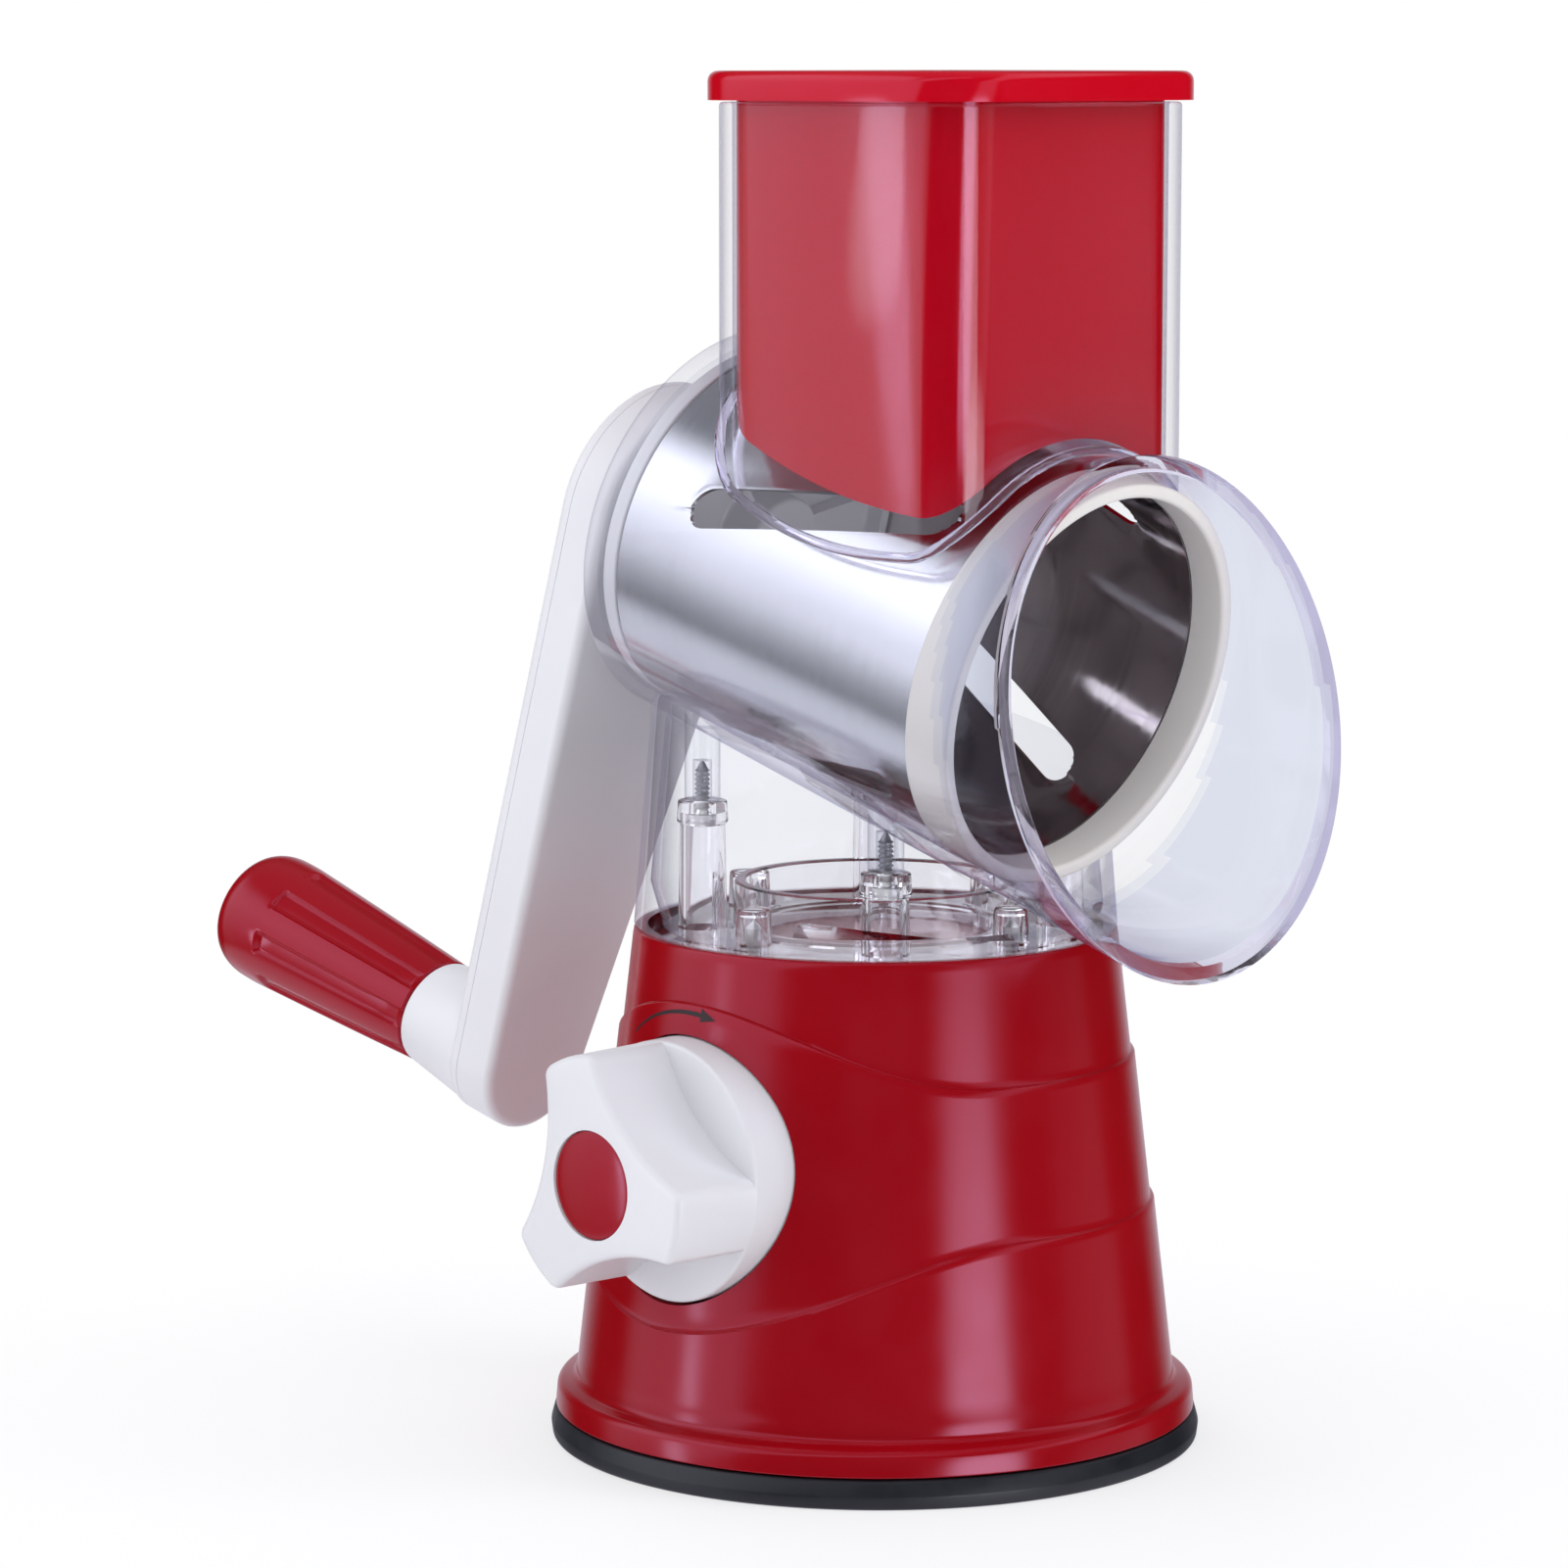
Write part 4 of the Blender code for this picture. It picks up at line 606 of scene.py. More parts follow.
def finished(name, shape, material, body, replaced=(), sharp=32):
    mesh = bpy.data.meshes.new(name)
    shape.to_mesh(mesh)
    shape.free()
    mesh.materials.append(material)
    piece = bpy.data.objects.new(name, mesh)
    bpy.context.scene.collection.objects.link(piece)
    mesh.shade_smooth()
    mesh.set_sharp_from_angle(angle=radians(sharp))
    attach(piece, body)
    if replaced:
        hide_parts(*replaced)
    return piece


def rod(radius, low, high, steps):
    return turnedShape([(0, high), (radius, high), (radius, low), (0, low)], steps)


def bored(shape, at, radius, low, high, steps):
    # Takes out a round hole along the turned Z of the matrix
    return combined(shape, moved(rod(radius, low, high, steps), at))


# Suction base

foot = {
    "radius": 62.5 * mm,
    "height": 5.5 * mm,
    "rim": 5.5 * mm,
    "rise": 3.0 * mm,
    "pad": 12 * mm,
    "bossRadius": 9 * mm,
    "boreRadius": 4.3 * mm,
}


def makeFoot():
    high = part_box("suction_cup")[1]
    profile = softCorners([
        (0, foot["height"], 0), (foot["radius"] - 0.8 * mm, foot["height"], 0.8 * mm),
        (foot["radius"], foot["height"] * 0.45, 1.0 * mm), (foot["radius"] - 0.3 * mm, 0, 0.7 * mm),
        (foot["radius"] - foot["rim"], 0, 0.6 * mm),
        (foot["radius"] - 2 * foot["rim"], foot["rise"], 1.5 * mm),
        (foot["pad"] + foot["rim"], foot["rise"], 1.5 * mm), (foot["pad"], 0, 1.0 * mm), (0, 0, 0),
    ])
    shape = turnedShape(profile, 192)
    boss = turnedShape(softCorners([
        (0, high.z, 0), (foot["bossRadius"], high.z, 0.6 * mm),
        (foot["bossRadius"], foot["height"] / 2, 0), (0, foot["height"] / 2, 0),
    ]), 64)
    shape = combined(shape, boss, "UNION")
    shape = combined(shape, rod(foot["boreRadius"], foot["height"] * 0.98, high.z + mm, 48))
    finished("rubber_foot", shape, finishOf["black_rubber"], "base", ["suction_cup"])


makeFoot()

shell = {
    "topRadius": 46.2 * mm,
    "topHeight": 98.7 * mm,
    "slope": 0.115,
    "wall": 2.4 * mm,
    "step": 0.7 * mm,
    "upperLow": 74.8 * mm,
    "upperSwell": 14.0 * mm,
    "lowerHigh": 46.4 * mm,
    "lowerDip": 18.2 * mm,
    "flangeTop": 9.3 * mm,
    "shoulder": 13.0 * mm,
    "bottom": 5.8 * mm,
    "deckTop": 96.0 * mm,
    "deckBottom": 93.5 * mm,
    "flangeRadius": 61.6 * mm,
    "cupRadius": 27.45 * mm,
    "dishRadius": 25.05 * mm,
    "shaftRadius": 4.0 * mm,
    # along the knob's axis
    "cupBack": 41.1 * mm,
    "dishBack": 43.5 * mm,
    "shaftBack": 35 * mm,
    "outside": 73 * mm,
}


def coneRadius(height):
    return shell["topRadius"] + (shell["topHeight"] - height) * shell["slope"]


def waveHeight(angle, level, swell, tightness):
    away = abs((angle - knobBearing + pi) % (2 * pi) - pi)
    return level + swell * (0.5 + 0.5 * cos(min(pi, tightness * away)))


def upperWave(angle):
    return waveHeight(angle, shell["upperLow"], shell["upperSwell"], 2.5)


def lowerWave(angle):
    return waveHeight(angle, shell["lowerHigh"], -shell["lowerDip"], 2.3)


def makeShell():
    step = shell["step"]
    # (height on the plain side, how far it stands out of the plain cone)
    rows = [(shell["topHeight"] - 2 * mm - i * 2.1 * mm, 0.0) for i in range(9)]
    edge = ((1.6, 0.0), (0.5, 0.0), (0.25, 0.12), (0.1, 0.45), (-0.1, 0.85), (-0.4, 1.0), (-1.5, 1.0))
    for line, proud, span in (
        (shell["upperLow"], 0.0, (shell["upperLow"] - shell["lowerHigh"] - 6 * mm) / 8),
        (shell["lowerHigh"], step, (shell["lowerHigh"] - 3 * mm - shell["shoulder"] - 2 * mm) / 8),
    ):
        rows += [(line + rise * mm, proud + out * step) for rise, out in edge]
        rows += [(line - 3 * mm - i * span, proud + step) for i in range(9)]
    outside = [(coneRadius(height) + proud, height) for height, proud in rows]
    crown = softCorners([
        (0, shell["topHeight"], 0), (shell["topRadius"] - 0.1 * mm, shell["topHeight"], 0.6 * mm),
        (coneRadius(shell["topHeight"] - 1.5 * mm), shell["topHeight"] - 1.5 * mm, 0),
    ])
    root = coneRadius(shell["shoulder"]) + 2 * step
    flange = shell["flangeRadius"]
    skirt = softCorners([
        (root, shell["shoulder"] + 0.8 * mm, 0),
        (root + 0.1 * mm, shell["shoulder"] - 1.6 * mm, 2.2 * mm),
        (flange - 0.4 * mm, shell["flangeTop"] + 1.2 * mm, 1.6 * mm),
        (flange, shell["bottom"], 0.3 * mm), (flange - 1.5 * mm, shell["bottom"], 0),
        (0, shell["bottom"], 0),
    ], 6)
    shape = turnedShape(crown + outside + skirt, 240)
    # The two lines are bent into waves, and what lies between them follows
    levels = (shell["shoulder"] + mm, shell["lowerHigh"], shell["upperLow"], shell["topHeight"] - 2 * mm)
    for vertex in shape.verts:
        height = vertex.co.z
        radius = vertex.co.xy.length
        if not levels[0] < height < levels[3] or radius < coneRadius(height) - 0.1 * mm:
            continue
        angle = atan2(vertex.co.y, vertex.co.x)
        targets = (levels[0], lowerWave(angle), upperWave(angle), levels[3])
        for i in range(3):
            if levels[i] <= height <= levels[i + 1]:
                share = (height - levels[i]) / (levels[i + 1] - levels[i])
                bent = targets[i] + (targets[i + 1] - targets[i]) * share
                bentRadius = coneRadius(bent) + radius - coneRadius(height)
                vertex.co = (bentRadius * cos(angle), bentRadius * sin(angle), bent)
                break
    cavity = turnedShape([
        (0, shell["deckBottom"]),
        (coneRadius(shell["deckBottom"]) - shell["wall"], shell["deckBottom"]),
        (coneRadius(0) - shell["wall"], 0), (0, 0),
    ], 160)
    cup = moved(rod(shell["cupRadius"], shell["cupBack"], shell["outside"], 128), knobFrame)
    shape = combined(shape, combined(cavity, cup))
    recess = rod(shell["topRadius"] - shell["wall"], shell["deckTop"], shell["topHeight"] + mm, 240)
    shape = combined(shape, recess)
    shape = bored(shape, knobFrame, shell["dishRadius"], shell["dishBack"], shell["outside"], 160)
    shape = bored(shape, knobFrame, shell["shaftRadius"], shell["shaftBack"], shell["outside"], 48)
    finished("red_base_shell", shape, redPlastic, "base", ["base_shell"], 28)


makeShell()
print("base made")


# Lock knob

knob = {
    "radius": 24.75 * mm,
    "tipRadius": 24.0 * mm,
    "back": 43.8 * mm,
    "front": 72.95 * mm,
    "ledge": 54.5 * mm,
    "waist": 14.0 * mm,
    "tipTurn": radians(-13),
    "tipHalf": radians(17),
    "tipRounding": 2.4 * mm,
    "capRadius": 10.1 * mm,
    "edge": 1.5 * mm,
    "taper": 1.018,
    "hollow": (8.7 * mm, 22.3 * mm),
    "hollowDepth": (41 * mm, 52 * mm),
    "seatRadius": 10.25 * mm,
    "seat": (70.1 * mm, 80 * mm),
}


def arc(middle, radius, start, end, steps):
    # Points round a middle, from the direction of one point to the direction of another, the short way
    first = atan2(start.y - middle.y, start.x - middle.x)
    sweep = (atan2(end.y - middle.y, end.x - middle.x) - first + pi) % (2 * pi) - pi
    return [polar(radius, first + sweep * i / steps, middle) for i in range(steps + 1)]


def knobOutline():
    # Three tips on a circle, with scoops between them and round corners where they meet
    tip, waist, rounding = knob["tipRadius"], knob["waist"], knob["tipRounding"]
    half = pi / 3 - knob["tipHalf"]
    centre = (tip**2 - waist**2) / (2 * (tip * cos(half) - waist))
    scoopRadius = centre - waist
    near, far = tip - rounding, scoopRadius + rounding
    reach = acos((near**2 + centre**2 - far**2) / (2 * near * centre))
    outline = []
    for i in range(3):
        turn = knob["tipTurn"] + pi / 3 + 2 * pi / 3 * i
        scoop = Vector(polar(centre, turn))
        first, second = (Vector(polar(near, turn + way * reach)) for way in (-1, 1))
        outline += arc(first, rounding, first * 2, scoop, 8)
        outline += arc(scoop, scoopRadius, first, second, 28)[1:-1]
        outline += arc(second, rounding, scoop, second * 2, 8)
        following = Matrix.Rotation(2 * pi / 3, 2) @ first
        outline += arc(Vector((0, 0)), tip, second, following, 10)[1:-1]
    return outline


def makeKnob():
    shape = turnedShape(softCorners([
        (0, knob["ledge"], 0), (knob["radius"] - 0.25 * mm, knob["ledge"], 0.7 * mm),
        (knob["radius"], knob["back"], 0), (0, knob["back"], 0),
    ]), 160)
    star = flatShape(knobOutline(), knob["ledge"] - 2 * mm, knob["front"])
    for vertex in star.verts:
        if vertex.co.z < knob["ledge"]:
            vertex.co.xy *= knob["taper"]
    star = softened(star, knob["edge"], 5, 60, allAbove(knob["front"] - 0.1 * mm))
    shape = combined(shape, star, "UNION")
    inner, outer = knob["hollow"]
    back, floor = knob["hollowDepth"]
    hollow = turnedShape([(outer, floor), (outer, back), (inner, back), (inner, floor)], 96, closed=True)
    shape = combined(shape, rod(knob["seatRadius"], *knob["seat"], 96))
    shape = combined(shape, hollow)
    shape = moved(shape, knobFrame)
    finished("white_lock_knob", shape, whitePlastic, "lock", ["lock_knob"], 40)
    dome = [(0, knob["front"] - 2.6 * mm), (knob["capRadius"], knob["front"] - 2.6 * mm)]
    for i in range(13):
        lean = pi / 2 * i / 12
        rise = 0.4 * mm * sin(lean) + 0.7 * mm * (1 - cos(lean) ** 0.8)
        dome.append((knob["capRadius"] * cos(lean) ** 0.5, knob["front"] - 0.55 * mm + rise * 0.9))
    dome[-1] = (0, dome[-1][1])
    cap = turnedShape(dome, 96)
    finished("red_knob_cap", moved(cap, knobFrame), redPlastic, "lock", ["knob_cap"])


makeKnob()
print("knob made")


# Clear tower

tower = {
    "seat": 99.0 * mm,
    "height": 44.0 * mm,
    "topHalfX": 31.2 * mm,
    "topHalfY": 38.5 * mm,
    "squareness": 4.5,
    "wall": 2.4 * mm,
    "floorBottom": 96.3 * mm,
    "floorTop": 98.5 * mm,
    "ringRadius": 27.2 * mm,
    "ringHeight": 9.0 * mm,
    "spigot": 43.5 * mm,
    "hole": 22.4 * mm,
    "screwBore": 1.8 * mm,
    "pegs": 4,
    "pegCircle": 34 * mm,
    "pegRadius": 3.5 * mm,
    "pegHeight": 7 * mm,
    "postRadius": 4.7 * mm,
    "postBore": 3.3 * mm,
}
# x, y and the height of the collar, in millimetres
posts = [(24.6, 22.2, 123.0), (-24.6, 22.2, 123.0), (-25.0, -25.0, 113.9), (25.0, -25.0, 113.9)]


def barrelRadius(reach):
    share = (reach - barrel["backReach"]) / (barrel["frontReach"] - barrel["backReach"])
    return barrel["backRadius"] + (barrel["frontRadius"] - barrel["backRadius"]) * share


def towerPoint(turn, height, inset):
    angle = 2 * pi * turn
    share = (height - tower["seat"]) / tower["height"]
    foot = shell["topRadius"] - inset
    power = 2 / tower["squareness"]
    c, s = cos(angle), sin(angle)
    topX = (tower["topHalfX"] - inset) * abs(c) ** power * (1 if c > 0 else -1)
    topY = (tower["topHalfY"] - inset) * abs(s) ** power * (1 if s > 0 else -1)
    return Vector((foot * c * (1 - share) + topX * share, foot * s * (1 - share) + topY * share, height))


def saddlePoint(turn, inset, gap=0.3 * mm):
    # Where the wall, going up, meets the underside of the barrel
    low, high = tower["seat"], tower["seat"] + 1.15 * tower["height"]
    for step in range(28):
        height = (low + high) / 2
        point = towerPoint(turn, height, inset) - barrelMiddle
        reach = point.dot(mouthWay)
        rise = point.dot(upWay)
        inside = rise > 0 or sqrt(point.x**2 + rise**2) < barrelRadius(reach) + gap
        if inside:
            high = height
        else:
            low = height
    return towerPoint(turn, low, inset)


def between(turn, inset, share):
    # Part of the way up a wall, from the seat to the saddle
    top = saddlePoint(turn, inset).z
    return towerPoint(turn, tower["seat"] + (top - tower["seat"]) * share, inset)


def level(radius, height):
    return lambda turn: Vector((*polar(radius, 2 * pi * turn), height))


def makeTower():
    wall, spigot, tube = tower["wall"], tower["spigot"], tower["postRadius"]
    bottom, top = tower["floorBottom"], tower["floorTop"]
    ringOut = tower["ringRadius"]
    ringIn = ringOut - wall
    rings = [
        level(tower["hole"], bottom), level(spigot - 0.3 * mm, bottom),
        level(spigot, bottom + 0.3 * mm), level(spigot, tower["seat"]),
        lambda turn: towerPoint(turn, tower["seat"], 0.4 * mm),
        lambda turn: towerPoint(turn, tower["seat"] + 0.4 * mm, 0.0),
    ]
    rings += [lambda turn, share=share: between(turn, 0.0, share) for share in (0.15, 0.35, 0.6, 0.85, 0.97)]
    rings += [lambda turn: saddlePoint(turn, 0.25 * mm), lambda turn: saddlePoint(turn, wall - 0.25 * mm)]
    rings += [lambda turn, share=share: between(turn, wall, share) for share in (0.97, 0.85, 0.6, 0.35, 0.2)]
    rings += [
        level(41.5 * mm, top + 3.6 * mm), level(40.8 * mm, top + 0.5 * mm), level(40.2 * mm, top),
        level(ringOut + 0.6 * mm, top), level(ringOut, top + 0.6 * mm),
        level(ringOut - 0.2 * mm, top + tower["ringHeight"] - 0.4 * mm),
        level(ringOut - 0.6 * mm, top + tower["ringHeight"]),
        level(ringIn + 0.4 * mm, top + tower["ringHeight"]),
        level(ringIn, top + tower["ringHeight"] - 0.4 * mm), level(ringIn, top + 0.4 * mm),
        level(ringIn - 0.4 * mm, top), level(tower["hole"], top),
    ]
    shape = ringedShape(160, rings, closed=True)
    # The walls and the floor are even, and the ring, the posts and the pegs aren't
    even = shape.copy()
    middles = {face: face.calc_center_median() for face in even.faces}
    thick = [face for face, at in middles.items() if at.xy.length < 28 * mm and at.z > top + 0.3 * mm]
    bmesh.ops.delete(even, geom=thick, context="FACES")
    evenTree = BVHTree.FromBMesh(even)
    even.free()
    for x, y, collarTop in posts:
        at = Matrix.Translation((x * mm, y * mm, 0))
        collar = collarTop * mm
        post = turnedShape(softCorners([
            (0, collar, 0), (tube, collar, 0.5 * mm), (4.9 * mm, collar - 4.2 * mm, 0.5 * mm),
            (4.3 * mm, collar - 4.6 * mm, 0.2 * mm), (tube, top - mm, 0), (0, top - mm, 0),
        ]), 48)
        shape = combined(shape, moved(post, at), "UNION")
        shape = bored(shape, at, tower["postBore"], bottom - mm, collar - wall, 48)
        shape = bored(shape, at, tower["screwBore"], bottom - mm, collar + mm, 32)
    for i in range(tower["pegs"]):
        at = Matrix.Translation((*polar(tower["pegCircle"], pi / 2 * i), 0))
        peg = turnedShape(softCorners([
            (0, top + tower["pegHeight"], 0), (3.2 * mm, top + tower["pegHeight"], 0.5 * mm),
            (tower["pegRadius"], top - mm, 0), (0, top - mm, 0),
        ]), 40)
        shape = combined(shape, moved(peg, at), "UNION")
        shape = bored(shape, at, tower["screwBore"], bottom - mm, top + 5.4 * mm, 32)
    for face in shape.faces:
        face.material_index = int(evenTree.find_nearest(face.calc_center_median())[3] < 0.02 * mm)
    piece = finished("clear_view_tower", shape, clearStyrene, "base", ["clear_tower"], 35)
    piece.data.materials.append(clearWall)


makeTower()
print("tower made")


# Clear housing

hopper = {
    "halfX": 35.8 * mm,
    "halfY": 32.8 * mm,
    "corner": 13.5 * mm,
    "swell": 1.3 * mm,
    "bead": 1.0 * mm,
    "top": 254.6 * mm,
    "middleY": barrelMiddle.y,
    "rimDepth": 1.6 * mm,
    "lip": 0.8 * mm,
    "bushHole": 12.3 * mm,
}


def roundedBox(halfX, halfY, corner, steps=10):
    # The four sides swell a little towards their middles, and run smoothly into the corners
    swell = hopper["swell"]
    tiltX = tiltY = 0.0
    for i in range(4):
        # half of the length between corners, of the sides across X and across Y
        flatX = halfY - corner * (cos(tiltY) - sin(tiltX))
        flatY = halfX - corner * (cos(tiltX) - sin(tiltY))
        tiltX, tiltY = atan2(2 * swell, flatX), atan2(2 * swell, flatY)
    outline = []
    for way in range(4):
        side, depth = (halfX, halfY) if way % 2 == 0 else (halfY, halfX)
        flat, tilt, nextTilt = (flatX, tiltX, tiltY) if way % 2 == 0 else (flatY, tiltY, tiltX)
        heading = pi / 2 * way
        along = Vector((cos(heading), sin(heading)))
        across = Vector((-along.y, along.x))
        for i in range(13):
            offset = flat * (i / 6 - 1)
            outline.append(tuple(along * (side + swell * (1 - (offset / flat) ** 2)) + across * offset))
        middle = along * (side - corner * cos(tilt)) + across * (depth - corner * cos(nextTilt))
        for i in range(1, steps):
            outline.append(polar(corner, heading + tilt + (pi / 2 - tilt - nextTilt) * i / steps, middle))
    return outline


def tiltedRing(reach, radius, lift=0.0, turn=0.0):
    # A circle across the barrel's axis whose top leans back
    def ring(share):
        angle = 2 * pi * share
        return barrelFrame @ Vector((
            radius * cos(angle),
            lift + radius * sin(angle) * cos(turn),
            reach - radius * sin(angle) * sin(turn),
        ))
    return ring


def bellRing(share, offset):
    reach = barrel["frontReach"] + (barrel["mouthReach"] - barrel["frontReach"]) * share
    radius = barrel["frontRadius"] + (barrel["mouthRadius"] - barrel["frontRadius"]) * share**1.7
    return tiltedRing(reach, radius + offset, barrel["mouthLift"] * share, barrel["mouthTurn"] * share)


def barrelSolid(offset, back, beyond=0.0, edge=0.0, lip=0.0):
    rings = []
    if edge:
        rings += [tiltedRing(back, barrelRadius(back) + offset - edge)]
        rings += [tiltedRing(back + 0.3 * edge, barrelRadius(back) + offset - 0.3 * edge)]
    rings += [tiltedRing(back + edge, barrelRadius(back + edge) + offset)]
    reaches = [back + (barrel["frontReach"] - back) * i / 6 for i in range(1, 7)]
    rings += [tiltedRing(reach, barrelRadius(reach) + offset) for reach in reaches]
    rings += [bellRing(i / 24, offset - lip * easeStep(i / 24, 0.83, 0.97)) for i in range(1, 25)]
    if beyond:
        turn = barrel["mouthTurn"]
        reach = barrel["mouthReach"] + beyond * cos(turn)
        lift = barrel["mouthLift"] + beyond * sin(turn)
        rings += [tiltedRing(reach, barrel["mouthRadius"] + offset - lip, lift, turn)]
    return ringedShape(160, rings)


def junctionBead():
    # A clear bead along the line where the hopper's walls leave the barrel
    line = []
    for x, y in roundedBox(hopper["halfX"], hopper["halfY"], hopper["corner"], 8):
        point = Vector((x, y + hopper["middleY"], 180 * mm))
        for step in range(6):
            radius = barrelRadius((point - barrelMiddle).dot(mouthWay))
            rise = sqrt(radius**2 - x**2)
            point.z = barrelMiddle.z + (rise - (point.y - barrelMiddle.y) * upWay.y) / upWay.z
        line.append(point)
    rings = []
    for i, point in enumerate(line):
        along = (line[(i + 1) % len(line)] - line[i - 1]).normalized()
        outward = along.cross(Vector((0, 0, 1))).normalized() * hopper["bead"]
        upward = outward.cross(along)

        def ring(turn, point=point, outward=outward, upward=upward):
            return point + outward * cos(2 * pi * turn) + upward * sin(2 * pi * turn)

        rings.append(ring)
    return ringedShape(12, rings, closed=True)


def makeHousing():
    wall = barrel["wall"]
    middle = Matrix.Translation((0, hopper["middleY"], 0))
    shape = barrelSolid(0.0, barrel["backReach"], edge=1.6 * mm)
    outer = roundedBox(hopper["halfX"], hopper["halfY"], hopper["corner"])
    shape = combined(shape, moved(flatShape(outer, 163.1 * mm, hopper["top"]), middle), "UNION")
    places = [(Matrix.Translation((x * mm, y * mm, 0)), collarTop * mm) for x, y, collarTop in posts]
    for at, collar in places:
        shape = combined(shape, moved(rod(3.4 * mm, collar + 0.3 * mm, 158 * mm, 40), at), "UNION")
    shape = combined(shape, barrelSolid(-wall, barrel["backReach"] + wall, beyond=5 * mm, lip=hopper["lip"]))
    inner = roundedBox(hopper["halfX"] - wall, hopper["halfY"] - wall, hopper["corner"] - wall)
    shape = combined(shape, moved(flatShape(inner, 160.7 * mm, hopper["top"] + mm), middle))
    shape = bored(shape, barrelFrame, hopper["bushHole"], -63 * mm, -55 * mm, 96)
    for at, collar in places:
        shape = bored(shape, at, tower["screwBore"], collar, collar + 7.6 * mm, 24)
    turn = barrel["mouthTurn"]
    rimWay = upWay * sin(turn) + mouthWay * cos(turn)
    rimMiddle = barrelFrame @ Vector((0, barrel["mouthLift"], barrel["mouthReach"]))

    def onRim(edge):
        return all(abs((vertex.co - rimMiddle).dot(rimWay)) < 0.02 * mm for vertex in edge.verts)

    shape = softened(shape, 1.4 * mm, 5, 30, onRim)
    shape = softened(shape, 0.7 * mm, 3, 30, allAbove(hopper["top"] - 0.02 * mm))
    hopperFront = hopper["middleY"] - hopper["halfY"]
    for face in shape.faces:
        at = face.calc_center_median()
        if (at - rimMiddle).dot(rimWay) > -hopper["rimDepth"]:
            face.material_index = 1
        elif (at - barrelMiddle).dot(mouthWay) > barrel["frontReach"] + mm and at.y < hopperFront:
            face.material_index = 2
    bead = junctionBead()
    for face in bead.faces:
        face.material_index = 1
    beadMesh = bpy.data.meshes.new("bead")
    bead.to_mesh(beadMesh)
    bead.free()
    shape.from_mesh(beadMesh)
    bpy.data.meshes.remove(beadMesh)
    housing = finished("clear_drum_housing", shape, clearWall, "base", ["drum_housing"], 30)
    housing.data.materials.append(clearRim)
    housing.data.materials.append(clearBell)


makeHousing()
print("housing made")


# Pusher

pusher = {
    "gap": 0.8 * mm,
    "wall": 2.2 * mm,
    "arch": 42.4 * mm,
    "reach": 100 * mm,
    "seat": 254.9 * mm,
    "flange": 2.1 * mm,
    "flangeHeight": 5.4 * mm,
    "bottom": 158 * mm,
}


def makePusher():
    halfX = hopper["halfX"] - barrel["wall"] - pusher["gap"]
    halfY = hopper["halfY"] - barrel["wall"] - pusher["gap"]
    corner = hopper["corner"] - barrel["wall"] - pusher["gap"]
    wall = pusher["wall"]
    top = pusher["seat"] + pusher["flangeHeight"]
    middle = Matrix.Translation((0, hopper["middleY"], 0))
    outer = roundedBox(halfX, halfY, corner, 12)
    shape = moved(flatShape(outer, pusher["bottom"], pusher["seat"] + mm), middle)
    out = pusher["flange"]
    outline = roundedBox(hopper["halfX"] + out, hopper["halfY"] + out, hopper["corner"] + out, 12)
    flange = softened(flatShape(outline, pusher["seat"], top), 1.9 * mm, 5, 60, allAbove(top - 0.1 * mm))
    shape = combined(shape, moved(flange, middle), "UNION")
    shape = bored(shape, barrelFrame, pusher["arch"], -pusher["reach"], pusher["reach"], 240)
    inner = roundedBox(halfX - wall, halfY - wall, corner - wall, 12)
    cup = moved(flatShape(inner, pusher["bottom"], top + mm), middle)
    cup = bored(cup, barrelFrame, pusher["arch"] + wall, -pusher["reach"], pusher["reach"], 240)
    shape = combined(shape, cup)

    def atFoot(edge):
        points = [vertex.co - barrelMiddle for vertex in edge.verts]
        reach = [sqrt(point.x**2 + point.dot(upWay) ** 2) for point in points]
        return all(abs(value - pusher["arch"]) < 0.05 * mm for value in reach)

    shape = softened(shape, 0.6 * mm, 2, 40, atFoot)
    finished("red_pusher", shape, redCup, "pusher", ["pusher"], 30)


makePusher()
print("pusher made")


# Drum

drum = {
    "back": -53.1 * mm,
    "front": 28.3 * mm,
    "backRadius": 35.5 * mm,
    "frontRadius": 37.0 * mm,
    "steel": 0.8 * mm,
    "slots": 4,
    "slotWidth": 8.0 * mm,
    "slotStart": -38.5 * mm,
    "slotEnd": 17.0 * mm,
    "slotTwist": radians(30),
    "slotTurn": radians(162),
    "lip": 0.5 * mm,
    "plain": 2.4 * mm,  # the steps of the rows before, at and between the ends of the slots
    "fine": 0.45 * mm,
    "coarse": 2.1 * mm,
    "across": 0.46 * mm,
}


def drumRadius(reach):
    share = (reach - drum["back"]) / (barrel["frontReach"] - drum["back"])
    return drum["backRadius"] + (drum["frontRadius"] - 0.1 * mm - drum["backRadius"]) * share


